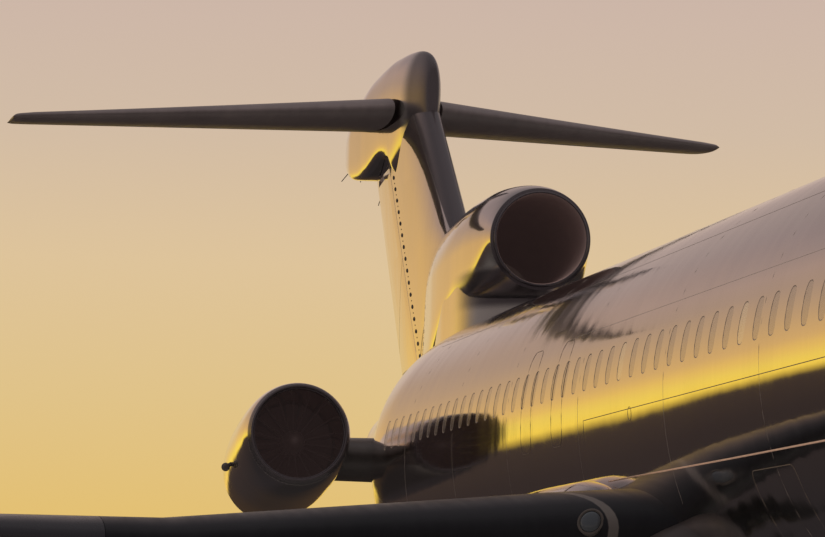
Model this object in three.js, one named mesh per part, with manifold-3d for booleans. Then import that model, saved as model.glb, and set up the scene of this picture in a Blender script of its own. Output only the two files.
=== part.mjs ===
// Stretched T-tail airliner with three rear engines, a 1:2 scale model parked on its gear.
// Sizes below are the full-size aircraft's, in millimetres, and the whole group is scaled at the end.
// A station is the distance aft of the nose. +X points to the nose, +Y to port, +Z up, z = 0 at the floor.
import * as THREE from 'three';
import { mergeVertices } from 'three/addons/utils/BufferGeometryUtils.js';
import Module from 'manifold-3d';

const wasm = await Module();
wasm.setup();

// Driving dimensions
const modelScale = 1 / 2;
const overallLength = 46690;
const halfSpan = 16460;
const seam = 0.6;            // gap between two fixed pieces that touch
const running = 12;          // gap round a moving surface
const pinRadius = 32;
const pinSides = 8;
const noseSides = 14;        // of a moving surface's round front
const pinSunk = 80;
// A bore's facets stay clear of its pin or shaft at every turn
const shaftGap = 0.4;
const boreFor = (radius, sides) => (radius + shaftGap) / Math.cos(Math.PI / sides);

const skinColour = { color: 0xb9aca4, roughness: 0.28, metalness: 0.85 };
const darkMetal = { color: 0x3a3b45, roughness: 0.3, metalness: 0.8 };
const wingPaint = { color: 0x4c4d55, roughness: 0.35, metalness: 0.1 };
const bareMetal = { color: 0x8d8a86, roughness: 0.45, metalness: 0.9 };
const engineMetal = { color: 0x4b4745, roughness: 0.5, metalness: 0.8 };
const rubber = { color: 0x17171a, roughness: 0.85, metalness: 0 };
const glass = { color: 0x11151a, roughness: 0.08, metalness: 0 };
const legPaint = { color: 0xc9c7c2, roughness: 0.4, metalness: 0.2 };

// Points, solids and meshes
const at = (station, y, z) => new THREE.Vector3(overallLength / 2 - station, y, z);

function solidOf(geometry) {
  const bare = new THREE.BufferGeometry();
  bare.setAttribute('position', geometry.getAttribute('position'));
  if (geometry.index) bare.setIndex(geometry.index);
  const merged = mergeVertices(bare, 1e-2);
  const triVerts = new Uint32Array(merged.index.array);
  const vertProperties = merged.getAttribute('position').array;
  return new wasm.Manifold(new wasm.Mesh({ numProp: 3, vertProperties, triVerts }));
}

function geometryOf(solid) {
  const { vertProperties, triVerts, numProp } = solid.getMesh();
  const positions = new Float32Array(vertProperties.length / numProp * 3);
  for (let v = 0; v < positions.length / 3; v++) {
    positions.set(vertProperties.subarray(v * numProp, v * numProp + 3), v * 3);
  }
  const geometry = new THREE.BufferGeometry();
  geometry.setAttribute('position', new THREE.BufferAttribute(positions, 3));
  geometry.setIndex(new THREE.BufferAttribute(triVerts, 1));
  return geometry;
}

const join = (first, ...others) => others.reduce((sum, other) => sum.add(other), first);
const cut = (first, ...others) => others.reduce((rest, other) => rest.subtract(other), first);
const mirrored = solid => solid.mirror([0, 1, 0]);
// A solid turned about a point, by degrees about Y and then about Z
const turnedAbout = (solid, { x, y, z }, [aboutY, aboutZ]) => solid
  .translate([-x, -y, -z]).rotate([0, aboutY, aboutZ]).translate([x, y, z]);

const model = new THREE.Group();
model.scale.setScalar(modelScale);

function addMesh(name, solid, finish) {
  const geometry = geometryOf(solid);
  geometry.computeVertexNormals();
  const mesh = new THREE.Mesh(geometry, new THREE.MeshStandardMaterial(finish));
  mesh.name = name;
  model.add(mesh);
}

// The same piece on both sides, from its port form
function addPair(name, port, finish) {
  addMesh(`${name}_left`, port, finish);
  addMesh(`${name}_right`, mirrored(port), finish);
}

// A closed skin through rings of points, each end shut by a fan to its middle.
// The two halves of a ring are split into triangles the opposite way, so a body is the same on both sides.
function skin(rings) {
  const around = rings[0].length;
  const points = rings.flat();
  const faces = [];
  for (let ring = 0; ring + 1 < rings.length; ring++) {
    for (let i = 0; i < around; i++) {
      const a = ring * around + i;
      const b = ring * around + (i + 1) % around;
      if (i < around / 2) faces.push(a, b, a + around, b, b + around, a + around);
      else faces.push(a, b, b + around, a, b + around, a + around);
    }
  }
  for (const [ring, flip] of [[0, true], [rings.length - 1, false]]) {
    const middle = new THREE.Vector3();
    rings[ring].forEach(point => middle.addScaledVector(point, 1 / around));
    const centre = points.push(middle) - 1;
    for (let i = 0; i < around; i++) {
      const a = ring * around + i;
      const b = ring * around + (i + 1) % around;
      faces.push(...(flip ? [b, a, centre] : [a, b, centre]));
    }
  }
  const geometry = new THREE.BufferGeometry().setFromPoints(points);
  geometry.setIndex(faces);
  const solid = solidOf(geometry);
  if (solid.volume() > 0) return solid;
  geometry.setIndex(faces.map((_, i) => faces[i - i % 3 + (2 - i % 3)]));
  return solidOf(geometry);
}

// A body whose section at each station is two half ellipses, joined at its widest height
// rows: station, half width, top, bottom, height of the widest point
function bodyOf(rows, around, grow = 0) {
  return skin(rows.map(([station, halfWidth, top, bottom, wide]) => {
    const ring = [];
    for (let i = 0; i < around; i++) {
      const angle = 2 * Math.PI * i / around;
      const tall = Math.cos(angle) > 0 ? top - wide : wide - bottom;
      const y = (halfWidth + grow) * Math.sin(angle);
      ring.push(at(station, y, wide + (tall + grow) * Math.cos(angle)));
    }
    return ring;
  }));
}

// Half thickness of a symmetric aerofoil of chord 1, at a share of its chord
function halfThickness(share, thick) {
  const curve = 0.2969 * Math.sqrt(share) - 0.126 * share - 0.3516 * share ** 2
    + 0.2843 * share ** 3 - 0.0985 * share ** 4;
  return 5 * thick * curve;
}

const sideSteps = 8;
// One aerofoil ring; place turns a distance along the chord and one across it into a point
function aerofoil(chord, thick, place) {
  const ring = [];
  for (let i = 0; i < 2 * sideSteps; i++) {
    const share = 0.5 * (1 + Math.cos(Math.PI * i / sideSteps));
    const side = i <= sideSteps ? 1 : -1;
    ring.push(place(share * chord, side * halfThickness(share, thick) * chord));
  }
  return ring;
}

// Two points of the sharp tail keep their thickness, so the ring there has one more point
function flying(rows, place) {
  return skin(rows.map(row => {
    const ring = aerofoil(row.chord, row.thick, (along, across) => place(row, along, across));
    const tail = place(row, row.chord, -halfThickness(1, row.thick) * row.chord);
    return [...ring, tail];
  }));
}

const barSides = 14;
// A round bar between two points, with its own radius at each end; turn moves its corners round it
function bar(from, to, radius, endRadius = radius, sides = barSides, turn = 0) {
  const axis = new THREE.Vector3().subVectors(to, from);
  const geometry = new THREE.CylinderGeometry(endRadius, radius, axis.length(), sides, 1, false, turn);
  geometry.translate(0, axis.length() / 2, 0);
  const up = new THREE.Vector3(0, 1, 0);
  geometry.applyQuaternion(new THREE.Quaternion().setFromUnitVectors(up, axis.normalize()));
  geometry.translate(from.x, from.y, from.z);
  return solidOf(geometry);
}

// The hole for a bar, with its flats facing the bar's corners at rest
function bore(from, to, radius, sides = barSides) {
  const room = boreFor(radius, sides);
  return bar(from, to, room, room, sides, Math.PI / sides);
}

// A box between two stations, two widths and two heights
function block(station0, station1, y0, y1, z0, z1) {
  const geometry = new THREE.BoxGeometry(station1 - station0, y1 - y0, z1 - z0);
  const middle = at((station0 + station1) / 2, (y0 + y1) / 2, (z0 + z1) / 2);
  geometry.translate(middle.x, middle.y, middle.z);
  return solidOf(geometry);
}

// A side view outline of stations and heights, as wide as from y0 to y1
function sidePlate(outline, y0, y1) {
  const shape = new THREE.Shape(outline.map(([station, z]) => new THREE.Vector2(-station, z)));
  const geometry = new THREE.ExtrudeGeometry(shape, { depth: y1 - y0, bevelEnabled: false });
  geometry.rotateX(Math.PI / 2);
  geometry.translate(overallLength / 2, y1, 0);
  return solidOf(geometry);
}

// A plan view outline of stations and widths, as tall as from z0 to z1
function planPlate(outline, z0, z1) {
  const shape = new THREE.Shape(outline.map(([station, y]) => new THREE.Vector2(-station, y)));
  const geometry = new THREE.ExtrudeGeometry(shape, { depth: z1 - z0, bevelEnabled: false });
  geometry.translate(overallLength / 2, 0, z0);
  return solidOf(geometry);
}

// A turned piece round a line that runs aft from a point: profile rows are distance aft, radius
function turned(start, profile, sides) {
  const points = profile.map(([aft, radius]) => new THREE.Vector2(radius, aft));
  const geometry = new THREE.LatheGeometry(points, sides);
  geometry.rotateZ(Math.PI / 2);
  geometry.translate(start.x, start.y, start.z);
  const solid = solidOf(geometry);
  if (solid.volume() > 0) return solid;
  const flipped = new THREE.LatheGeometry(points.reverse(), sides);
  flipped.rotateZ(Math.PI / 2);
  flipped.translate(start.x, start.y, start.z);
  return solidOf(flipped);
}

// A wheel part turned round its axle, which runs along Y, with one of its flats at the bottom:
// profile rows are distance to port, radius
function turnedAcross(centre, profile, sides) {
  const solid = turned(new THREE.Vector3(), profile, sides).rotate([0, 0, -90]).rotate([0, 180 / sides, 0]);
  return solid.translate([centre.x, centre.y, centre.z]);
}

// Splits a solid at a hinge line: the moving surface has a round nose and pins,
// and the fixed part has a cove and bores. within, if given, bounds the moving surface,
// and around bounds the opening that it moves in. A pin is a point and the length that it stands
// out along the line, less than zero against it.
function hinged(solid, line, { noseFrom, noseTo, reach, tall, within, around, pins }) {
  const [from, to] = line;
  const along = new THREE.Vector3().subVectors(to, from);
  const length = along.length();
  along.normalize();
  const aft = new THREE.Vector3(-1, 0, 0).projectOnPlane(along).normalize();
  const across = new THREE.Vector3().crossVectors(aft, along);
  const frame = new THREE.Matrix4().makeBasis(along, across, aft.clone());
  const mirrorFrame = frame.determinant() < 0;
  if (mirrorFrame) frame.makeBasis(along, across.negate(), aft);
  const boxBehind = gap => {
    const depth = reach + gap;
    const geometry = new THREE.BoxGeometry(length + 2 * gap, 2 * tall, depth);
    geometry.translate(length / 2, 0, depth / 2);
    geometry.applyMatrix4(frame);
    geometry.translate(from.x, from.y, from.z);
    return solidOf(geometry);
  };
  const ends = gap => [from.clone().addScaledVector(along, -gap), to.clone().addScaledVector(along, gap)];
  const nose = gap => bar(...ends(gap), noseFrom + gap, noseTo + gap, noseSides);
  let taken = join(boxBehind(0), nose(0));
  if (within) taken = taken.intersect(within);
  let opening = join(boxBehind(running), nose(running));
  if (around) opening = opening.intersect(around);
  let moving = solid.intersect(taken);
  let fixed = cut(solid, opening);
  for (const [point, length] of pins) {
    const way = along.clone().multiplyScalar(Math.sign(length));
    const root = point.clone().addScaledVector(way, -pinSunk);
    const tip = point.clone().addScaledVector(way, Math.abs(length));
    moving = moving.add(bar(root, tip, pinRadius, pinRadius, pinSides));
    fixed = fixed.subtract(bore(root, tip.addScaledVector(way, 10), pinRadius, pinSides));
  }
  return { moving, fixed };
}

// Fuselage
// station, half width, top, bottom, height of the widest point
const noseRows = [
  [0, 40, 3010, 2930, 2970],
  [60, 260, 3240, 2720, 2970],
  [220, 500, 3480, 2510, 2975],
  [560, 810, 3760, 2270, 2990],
  [1100, 1120, 4040, 2050, 3030],
];
const bodyRows = [
  [1600, 1330, 4230, 1900, 3110],
  [2050, 1480, 4660, 1810, 3230],
  [2600, 1610, 5080, 1745, 3390],
  [3400, 1750, 5420, 1695, 3590],
  [4500, 1845, 5630, 1680, 3760],
  [5900, 1880, 5725, 1680, 3845],
  [13600, 1880, 5725, 1680, 3845],
  [17600, 1880, 5725, 1420, 3845],
  [29800, 1880, 5725, 1420, 3845],
  [31000, 1830, 5720, 1500, 3860],
  [32200, 1695, 5700, 1720, 3900],
  [33600, 1480, 5650, 2040, 3980],
  [35200, 1230, 5560, 2460, 4070],
  [37000, 985, 5420, 2930, 4190],
  [38800, 795, 5230, 3400, 4320],
  [40300, 670, 5090, 3790, 4440],
];
const fuselageSides = 36;
const radomeEnd = 1100;
const [lastNoseRow] = noseRows.slice(-1);
const radome = bodyOf(noseRows, fuselageSides);
const bodyStart = [radomeEnd + seam, ...lastNoseRow.slice(1)];
const fuselageRows = [bodyStart, ...bodyRows];
const shell = bodyOf(fuselageRows, fuselageSides);
const shellGrown = bodyOf([...noseRows, ...bodyRows], fuselageSides, seam);

// Windshield: one band of glass round the nose, let into the skin
const glassDepth = 45;
const shellUnderGlass = bodyOf(fuselageRows, fuselageSides, -glassDepth);
const shellUnderSeat = bodyOf(fuselageRows, fuselageSides, -glassDepth - seam);
const windshieldOutline = gap => [
  [1300 - gap, 4205 - gap],
  [3480 + gap, 4330 - gap],
  [3480 + gap, 4760 + gap],
  [2280 + gap, 4930 + gap],
  [1300 - gap, 4930 + gap],
];
const glassWindow = sidePlate(windshieldOutline(0), -2000, 2000);
const glassSeat = sidePlate(windshieldOutline(seam), -2000, 2000);
const windshield = cut(shell, shellUnderGlass).intersect(glassWindow);
const windshieldPocket = cut(glassSeat, shellUnderSeat);

// Airstair under the tail: a panel of the skin that drops at its aft end, with steps on its back.
// Its hinge lies inside the skin, which curves up at the sides, so its front edge is round about the hinge.
const stair = {
  length: 3920, halfWidth: 400, panel: 110, well: 350, slope: 14.8, nose: 148, inset: 138, aftGap: 40,
};
const stairHinge = at(33780, 0, 2230);
const stairAngle = THREE.MathUtils.degToRad(stair.slope);
const stairNoseSides = 24;
function stairRoom(gap, aftGap, tall) {
  const length = stair.length + aftGap;
  const below = 400;
  const halfWidth = stair.halfWidth + gap;
  const geometry = new THREE.BoxGeometry(length, 2 * halfWidth, tall + below);
  geometry.translate(-length / 2, 0, (tall - below) / 2);
  geometry.rotateY(stairAngle);
  geometry.translate(stairHinge.x, stairHinge.y, stairHinge.z);
  const ends = [stairHinge.clone().setY(-halfWidth), stairHinge.clone().setY(halfWidth)];
  return join(solidOf(geometry), bar(...ends, stair.nose + gap, stair.nose + gap, stairNoseSides));
}
const stairPinAt = y => stairHinge.clone().setY(stair.halfWidth + y);
const bothSides = port => join(port, mirrored(port));
const stairPins = bothSides(bar(stairPinAt(-70), stairPinAt(36), pinRadius, pinRadius, pinSides));
const stairBores = bothSides(bore(stairPinAt(-70), stairPinAt(46), pinRadius, pinSides));
const stairPanel = cut(shell.intersect(stairRoom(0, 0, 900)), shell.translate([0, 0, stair.panel]));
const stairWell = stairRoom(running, stair.aftGap, stair.well);
// Steps: a saw-tooth outline along the panel, level when the stair is down
const stepCount = 8;
const openSlope = THREE.MathUtils.degToRad(30);
function stairSteps() {
  const first = 180;
  const pitch = (stair.length - 2 * first) / stepCount;
  const tread = pitch * Math.cos(openSlope);
  const base = stair.panel - 10 - stair.inset;
  const top = stair.panel + 60 - stair.inset;
  const outline = [[first, base], [first, top]];
  for (let step = 0; step < stepCount; step++) {
    const start = first + step * pitch;
    const corner = start + tread * Math.cos(openSlope);
    outline.push([corner, top + tread * Math.sin(openSlope)], [start + pitch, top]);
  }
  outline.push([stair.length - first, base]);
  const shape = new THREE.Shape(outline.map(([u, v]) => new THREE.Vector2(-u, v)));
  const width = 2 * (stair.halfWidth - 60);
  const geometry = new THREE.ExtrudeGeometry(shape, { depth: width, bevelEnabled: false });
  geometry.rotateX(Math.PI / 2);
  geometry.translate(0, width / 2, 0);
  geometry.rotateY(stairAngle);
  geometry.translate(stairHinge.x, stairHinge.y, stairHinge.z);
  return solidOf(geometry);
}

// Nose gear bay
const noseGear = { station: 4600, wheelRadius: 405, halfTrack: 300, tyreHalfWidth: 140 };
const bay = { from: 3650, to: 5550, halfWidth: 400, roof: 2450 };
const noseBay = block(bay.from, bay.to, -bay.halfWidth, bay.halfWidth, 1000, bay.roof);

// Centre engine, in the end of the tail
const tailEngine = { from: 36900, to: 40040, z: 4440, radius: 540 };
const engineSides = 26;
const tailStart = at(tailEngine.from, 0, tailEngine.z);
const tailBoreLength = 3500;
const tailBore = turned(tailStart, [
  [-seam, 0], [-seam, tailEngine.radius + seam],
  [tailBoreLength, tailEngine.radius + seam], [tailBoreLength, 0],
], engineSides);

// Jacking pad under the nose
const noseJack = { station: 6400, top: 1780, face: 1660, radius: 70 };
const noseJackAt = z => at(noseJack.station, 0, z);
const noseJackPad = bar(noseJackAt(noseJack.top), noseJackAt(noseJack.face), noseJack.radius);
const fuselage = cut(shell, windshieldPocket, stairWell, stairBores, noseBay, tailBore).add(noseJackPad);
addMesh('radome', radome, skinColour);
addMesh('windshield', windshield, glass);
addMesh('fuselage', fuselage, skinColour);
addMesh('airstair', join(stairPanel, stairPins, stairSteps()), skinColour);

// Wing
// y, leading edge station, its height, chord, thickness share, incidence in degrees
const wingRows = [
  [1300, 16180, 2620, 8530, 0.125, 3.0],
  [2400, 16980, 2600, 7750, 0.122, 3.0],
  [5700, 19380, 2450, 5900, 0.11, 2.5],
  [10500, 22860, 2610, 4320, 0.10, 1.5],
  [15900, 26790, 2870, 2550, 0.095, 0.5],
  [16300, 27150, 2900, 2250, 0.09, 0.5],
  [halfSpan, 27480, 2915, 1800, 0.05, 0.5],
].map(([y, lead, z, chord, thick, degrees]) => ({ y, lead, z, chord, thick, degrees }));

function wingPoint(row, along, across) {
  const angle = THREE.MathUtils.degToRad(row.degrees);
  const station = row.lead + along * Math.cos(angle) + across * Math.sin(angle);
  return at(station, row.y, row.z - along * Math.sin(angle) + across * Math.cos(angle));
}

// A row between two rows of a table
function rowAt(rows, key, value) {
  const next = rows.findIndex(row => row[key] >= value);
  const [a, b] = [rows[Math.max(next - 1, 0)], rows[Math.max(next, 1)]];
  const share = (value - a[key]) / (b[key] - a[key]);
  return Object.fromEntries(Object.keys(a).map(k => [k, THREE.MathUtils.lerp(a[k], b[k], share)]));
}

const wingChordPoint = (y, share) => {
  const row = rowAt(wingRows, 'y', y);
  return wingPoint(row, share * row.chord, 0);
};
const wingNose = (y, share) => {
  const row = rowAt(wingRows, 'y', y);
  return 1.1 * halfThickness(share, row.thick) * row.chord;
};

// Fairing where the wing meets the belly
const bellyRows = [
  [15600, 1350, 2700, 1750, 2250],
  [16400, 1900, 2960, 1500, 2300],
  [17600, 2080, 3080, 1330, 2330],
  [19500, 2150, 3110, 1260, 2340],
  [23500, 2150, 3090, 1260, 2330],
  [25300, 2050, 2960, 1310, 2280],
  [26900, 1600, 2650, 1480, 2150],
];
const bellySides = 28;
const bellyWhole = bodyOf(bellyRows, bellySides);
const bellyGrown = bodyOf(bellyRows, bellySides, seam);
addMesh('belly_fairing', cut(bellyWhole, shellGrown), skinColour);

let wing = cut(flying(wingRows, wingPoint), bellyGrown, shellGrown);

// Fairings of the flap tracks, cut with the wing where the flaps begin: y, length, half width, depth
const trackRows = [[3900, 2500, 110, 300], [8300, 2100, 95, 260], [11200, 1800, 85, 220]];
for (const [y, length, halfWidth, depth] of trackRows) {
  const row = rowAt(wingRows, 'y', y);
  const tail = wingPoint(row, row.chord, 0);
  const end = overallLength / 2 - tail.x + 350;
  const z = tail.z + 20;
  const canoe = bodyOf([
    [end - length, halfWidth * 0.3, z + 30, z - depth * 0.3, z],
    [end - length * 0.7, halfWidth, z + 40, z - depth * 0.95, z],
    [end - length * 0.35, halfWidth * 0.9, z + 40, z - depth * 0.9, z],
    [end, 12, z + 8, z - 12, z],
  ], 8).translate([0, y, 0]);
  wing = wing.add(canoe);
}

// Ailerons: name, inner y, outer y, chord share of the hinge
const aileronRows = [['inner_aileron', 6150, 7150, 0.77], ['outer_aileron', 12500, 15500, 0.76]];
const wingMoving = {};
for (const [name, inner, outer, share] of aileronRows) {
  const line = [wingChordPoint(inner, share), wingChordPoint(outer, share)];
  const sizes = { noseFrom: wingNose(inner, share), noseTo: wingNose(outer, share) };
  const pins = [[line[0], -60], [line[1], 60]];
  const split = hinged(wing, line, { ...sizes, reach: 1700, tall: 350, pins });
  wing = split.fixed;
  wingMoving[name] = split.moving;
}

// Spoiler: a panel of the upper skin, hinged along its front edge
const spoiler = { inner: 7600, outer: 11900, from: 0.64, to: 0.755, thick: 46, endGap: 26 };
const skinPoint = (y, share, below) => {
  const row = rowAt(wingRows, 'y', y);
  const point = wingPoint(row, share * row.chord, halfThickness(share, row.thick) * row.chord);
  return point.setZ(point.z - below);
};
// Its underside is a plane, through its two front corners and the middle of its back edge
const spoilerFloor = new THREE.Plane().setFromCoplanarPoints(
  skinPoint(spoiler.inner, spoiler.from, spoiler.thick),
  skinPoint(spoiler.outer, spoiler.from, spoiler.thick),
  skinPoint((spoiler.inner + spoiler.outer) / 2, spoiler.to, spoiler.thick),
);
function spoilerBlock(gap, endGap) {
  const corners = [
    [spoiler.inner - endGap, spoiler.from, gap], [spoiler.outer + endGap, spoiler.from, gap],
    [spoiler.outer + endGap, spoiler.to, -gap], [spoiler.inner - endGap, spoiler.to, -gap],
  ].map(([y, share, ahead]) => {
    const point = wingChordPoint(y, share);
    point.x += ahead;
    const { normal, constant } = spoilerFloor;
    const z = -(normal.x * point.x + normal.y * point.y + constant) / normal.z;
    return point.setZ(z - (gap ? seam : 0));
  });
  return skin([corners, corners.map(corner => corner.clone().setZ(corner.z + 400))]);
}
const spoilerPanel = wing.intersect(spoilerBlock(0, 0));
// Its hinge slants, so its ends swing sideways as it rises
const spoilerSeat = spoilerBlock(running, spoiler.endGap);
wing = cut(wing, spoilerSeat);

// Flaps: name, inner y, outer y, chord share of the front edge
const flapRows = [['inner_flap', 2500, 5950, 0.76], ['outer_flap', 7420, 12250, 0.77]];
function flapPlan(inner, outer, share, gap) {
  const stationAt = y => overallLength / 2 - wingChordPoint(y, share).x - gap;
  const past = 3000;
  return planPlate([
    [stationAt(inner), inner - gap],
    [stationAt(outer), outer + gap],
    [stationAt(outer) + past, outer + gap],
    [stationAt(inner) + past, inner - gap],
  ], 1000, 3600);
}
const wingFixed = {};
for (const [name, inner, outer, share] of flapRows) {
  wingFixed[name] = wing.intersect(flapPlan(inner, outer, share, 0));
  wing = cut(wing, flapPlan(inner, outer, share, seam));
}

// Slats along the outer leading edge
const slat = { inner: 6300, outer: 15800, share: 0.13 };
function slatPlan(gap) {
  const stationAt = y => overallLength / 2 - wingChordPoint(y, slat.share).x + gap;
  const ahead = 2500;
  return planPlate([
    [stationAt(slat.inner) - ahead, slat.inner - gap],
    [stationAt(slat.outer) - ahead, slat.outer + gap],
    [stationAt(slat.outer), slat.outer + gap],
    [stationAt(slat.inner), slat.inner - gap],
  ], 1000, 3600);
}
wingFixed.slat = wing.intersect(slatPlan(0));
wing = cut(wing, slatPlan(seam));

// Jacking pad under the wing: a short round boss with a flat end
const wingJack = { station: 22300, y: 3300, top: 2120, face: 1990, radius: 75 };
const wingJackAt = z => at(wingJack.station, wingJack.y, z);
wing = wing.add(bar(wingJackAt(wingJack.top), wingJackAt(wingJack.face), wingJack.radius));
addPair('wing', wing, wingPaint);
addPair('slat', wingFixed.slat, darkMetal);
addPair('inner_flap', wingFixed.inner_flap, wingPaint);
addPair('outer_flap', wingFixed.outer_flap, wingPaint);
addPair('inner_aileron', wingMoving.inner_aileron, wingPaint);
addPair('outer_aileron', wingMoving.outer_aileron, wingPaint);
addPair('spoiler', spoilerPanel, wingPaint);

// Centre intake and duct above the tail
const intake = { station: 31100, z: 6613, lip: 590, bore: 548 };
const ductRows = [
  [intake.station, intake.lip, intake.z + intake.lip, intake.z - intake.lip, intake.z],
  [31180, 622, 7238, 5988, intake.z],
  [31500, 668, 7300, 5930, 6600],
  [32000, 705, 7355, 5880, 6590],
  [32600, 722, 7388, 5830, 6575],
  [33900, 690, 7382, 5300, 6540],
  [35300, 600, 7335, 5200, 6480],
  [36600, 470, 7275, 5150, 6400],
  [37300, 380, 6600, 5100, 5900],
  [37900, 290, 5700, 5080, 5400],
  [38150, 240, 5330, 5070, 5200],
];
const ductSides = 24;
// Neck between the duct and the body, upright at its sides: station, half width
const neckRows = [
  [31900, 60], [31980, 150], [32200, 290], [32600, 430], [33200, 550], [33900, 600],
  [34700, 600], [35500, 540], [36300, 450], [36900, 350], [37300, 230], [37500, 110],
];
const neck = { bottom: 5300, top: 6350 };
function neckOf(grow) {
  const side = neckRows.map(([station, halfWidth]) => [station, halfWidth + grow]);
  const other = side.map(([station, y]) => [station, -y]).reverse();
  return planPlate([...side, ...other], neck.bottom, neck.top);
}
const ductWhole = join(bodyOf(ductRows, ductSides), neckOf(0));
const ductGrown = join(bodyOf(ductRows, ductSides, seam), neckOf(seam));
const ductBore = (() => {
  const path = new THREE.CatmullRomCurve3([
    at(intake.station - 200, 0, intake.z),
    at(intake.station + 900, 0, intake.z),
    at(intake.station + 2000, 0, intake.z - 90),
    at(intake.station + 3300, 0, intake.z - 520),
  ]);
  const outline = new THREE.Shape().absarc(0, 0, intake.bore, 0, 2 * Math.PI);
  const options = { steps: 6, bevelEnabled: false, extrudePath: path, curveSegments: 12 };
  return solidOf(new THREE.ExtrudeGeometry(outline, options));
})();
addMesh('centre_duct', cut(ductWhole, shellGrown, ductBore), skinColour);

// Fin: z, leading edge station, chord, thickness share
const trailAt = z => 41160 + 0.896 * (z - 5590);
const finRows = [
  [5050, 35370, 0.105],
  [6200, 35950, 0.1],
  [7280, 36600, 0.092],
  [9250, 39230, 0.086],
  [9600, 39700, 0.084],
].map(([z, lead, thick]) => ({ z, lead, chord: trailAt(z) - lead, thick }));
const finPoint = (row, along, across) => at(row.lead + along, across, row.z);
const finWhole = flying(finRows, finPoint);

// Fairing over the tailplane joint, from the fin's top to the aftmost point of the aircraft
const bulletRows = [
  [39150, 40, 9760, 9330, 9540],
  [39330, 165, 9950, 9230, 9540],
  [39750, 250, 10090, 9130, 9520],
  [40600, 305, 10210, 9000, 9500],
  [42000, 330, 10275, 8820, 9490],
  [43400, 330, 10240, 8690, 9480],
  [44900, 285, 10060, 8810, 9470],
  [45900, 205, 9850, 9030, 9460],
  [46480, 105, 9660, 9260, 9450],
  [overallLength, 22, 9500, 9400, 9450],
];
const bulletSides = 20;
const bulletWhole = bodyOf(bulletRows, bulletSides);
const bulletGrown = bodyOf(bulletRows, bulletSides, seam);
const nozzleRoom = block(40200, 42000, -500, 500, 4500, 5112);
const ductRoot = block(35000, 37950, -500, 500, 4500, 5450);
let fin = cut(finWhole, bulletGrown, ductGrown, shellGrown, nozzleRoom, ductRoot);

// Rudders on one hinge line, split square to it
const rudder = { top: 8570, split: 7130, bottom: 5600 };
const rudderHinge = z => at(38760 + 1.062 * (z - 5690), 0, z);
const finHalf = z => {
  const row = rowAt(finRows, 'z', z);
  const share = (overallLength / 2 - rudderHinge(z).x - row.lead) / row.chord;
  return 1.08 * halfThickness(share, row.thick) * row.chord;
};
const everywhere = 60000;
const heightRange = (low, high) => block(-everywhere, everywhere, -5000, 5000, low, high);
const rudderLift = 90;       // how far a level end rises or falls as the rudder swings on its slanting hinge
// name, lower and upper end of the hinge line, lowest and highest height, pin height, pin length
const rudderRows = [
  ['lower_rudder', rudder.bottom - 400, rudder.split, rudder.bottom, 12000, rudder.bottom, -180],
  ['upper_rudder', rudder.split + running, rudder.top + 900, 0, rudder.top, rudder.top, 210],
];
for (const [name, low, high, floor, roof, pinHeight, pinLength] of rudderRows) {
  const line = [rudderHinge(low), rudderHinge(high)];
  const split = hinged(fin, line, {
    noseFrom: finHalf(low), noseTo: finHalf(high), reach: 4000, tall: 600,
    within: heightRange(floor, roof),
    around: heightRange(floor - rudderLift, roof + rudderLift),
    pins: [[rudderHinge(pinHeight), pinLength]],
  });
  fin = split.fixed;
  addMesh(name, split.moving, skinColour);
}
addMesh('fin', fin, skinColour);

// Tailplane: turns on a shaft through the fin's top, and is parked with its trailing edge a little up
// y, leading edge station, chord, thickness share
const tailRoot = 345;
const tailZ = 9470;
const parkedTrim = 2.5;
const tailRows = [
  [tailRoot, 40370, 4150, 0.1],
  [5150, 44330, 1850, 0.075],
  [5350, 44510, 1700, 0.065],
  [5450, 44700, 1400, 0.035],
].map(([y, lead, chord, thick]) => ({ y, lead, chord, thick }));
const tailPoint = (row, along, across) => at(row.lead + along, row.y, tailZ + across);
const tailWhole = flying(tailRows, tailPoint);
const elevator = { inner: 420, outer: 5000, share: 0.715 };
const tailChordPoint = y => {
  const row = rowAt(tailRows, 'y', y);
  return tailPoint(row, elevator.share * row.chord, 0);
};
const tailHalf = y => {
  const row = rowAt(tailRows, 'y', y);
  return 1.12 * halfThickness(elevator.share, row.thick) * row.chord;
};
const elevatorLine = [tailChordPoint(tailRoot), tailChordPoint(elevator.outer)];
const elevatorSplit = hinged(tailWhole, elevatorLine, {
  noseFrom: tailHalf(tailRoot), noseTo: tailHalf(elevator.outer), reach: 1600, tall: 300,
  within: block(-everywhere, everywhere, elevator.inner, 9000, 5000, 12000),
  pins: [[elevatorLine[1], 60]],
});
const tailShaft = { station: 42900, radius: 100 };
const shaftEnds = [at(tailShaft.station, -600, tailZ), at(tailShaft.station, 600, tailZ)];
const shaftBar = radius => bar(...shaftEnds, radius);
const trimmed = solid => turnedAbout(solid, at(tailShaft.station, 0, tailZ), [parkedTrim, 0]);
addPair('tailplane', cut(trimmed(elevatorSplit.fixed), shaftBar(tailShaft.radius + seam)), wingPaint);
addPair('elevator', trimmed(elevatorSplit.moving), wingPaint);
addMesh('tailplane_shaft', shaftBar(tailShaft.radius), bareMetal);
addMesh('bullet_fairing', cut(bulletWhole, bore(...shaftEnds, tailShaft.radius)), skinColour);

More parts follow.
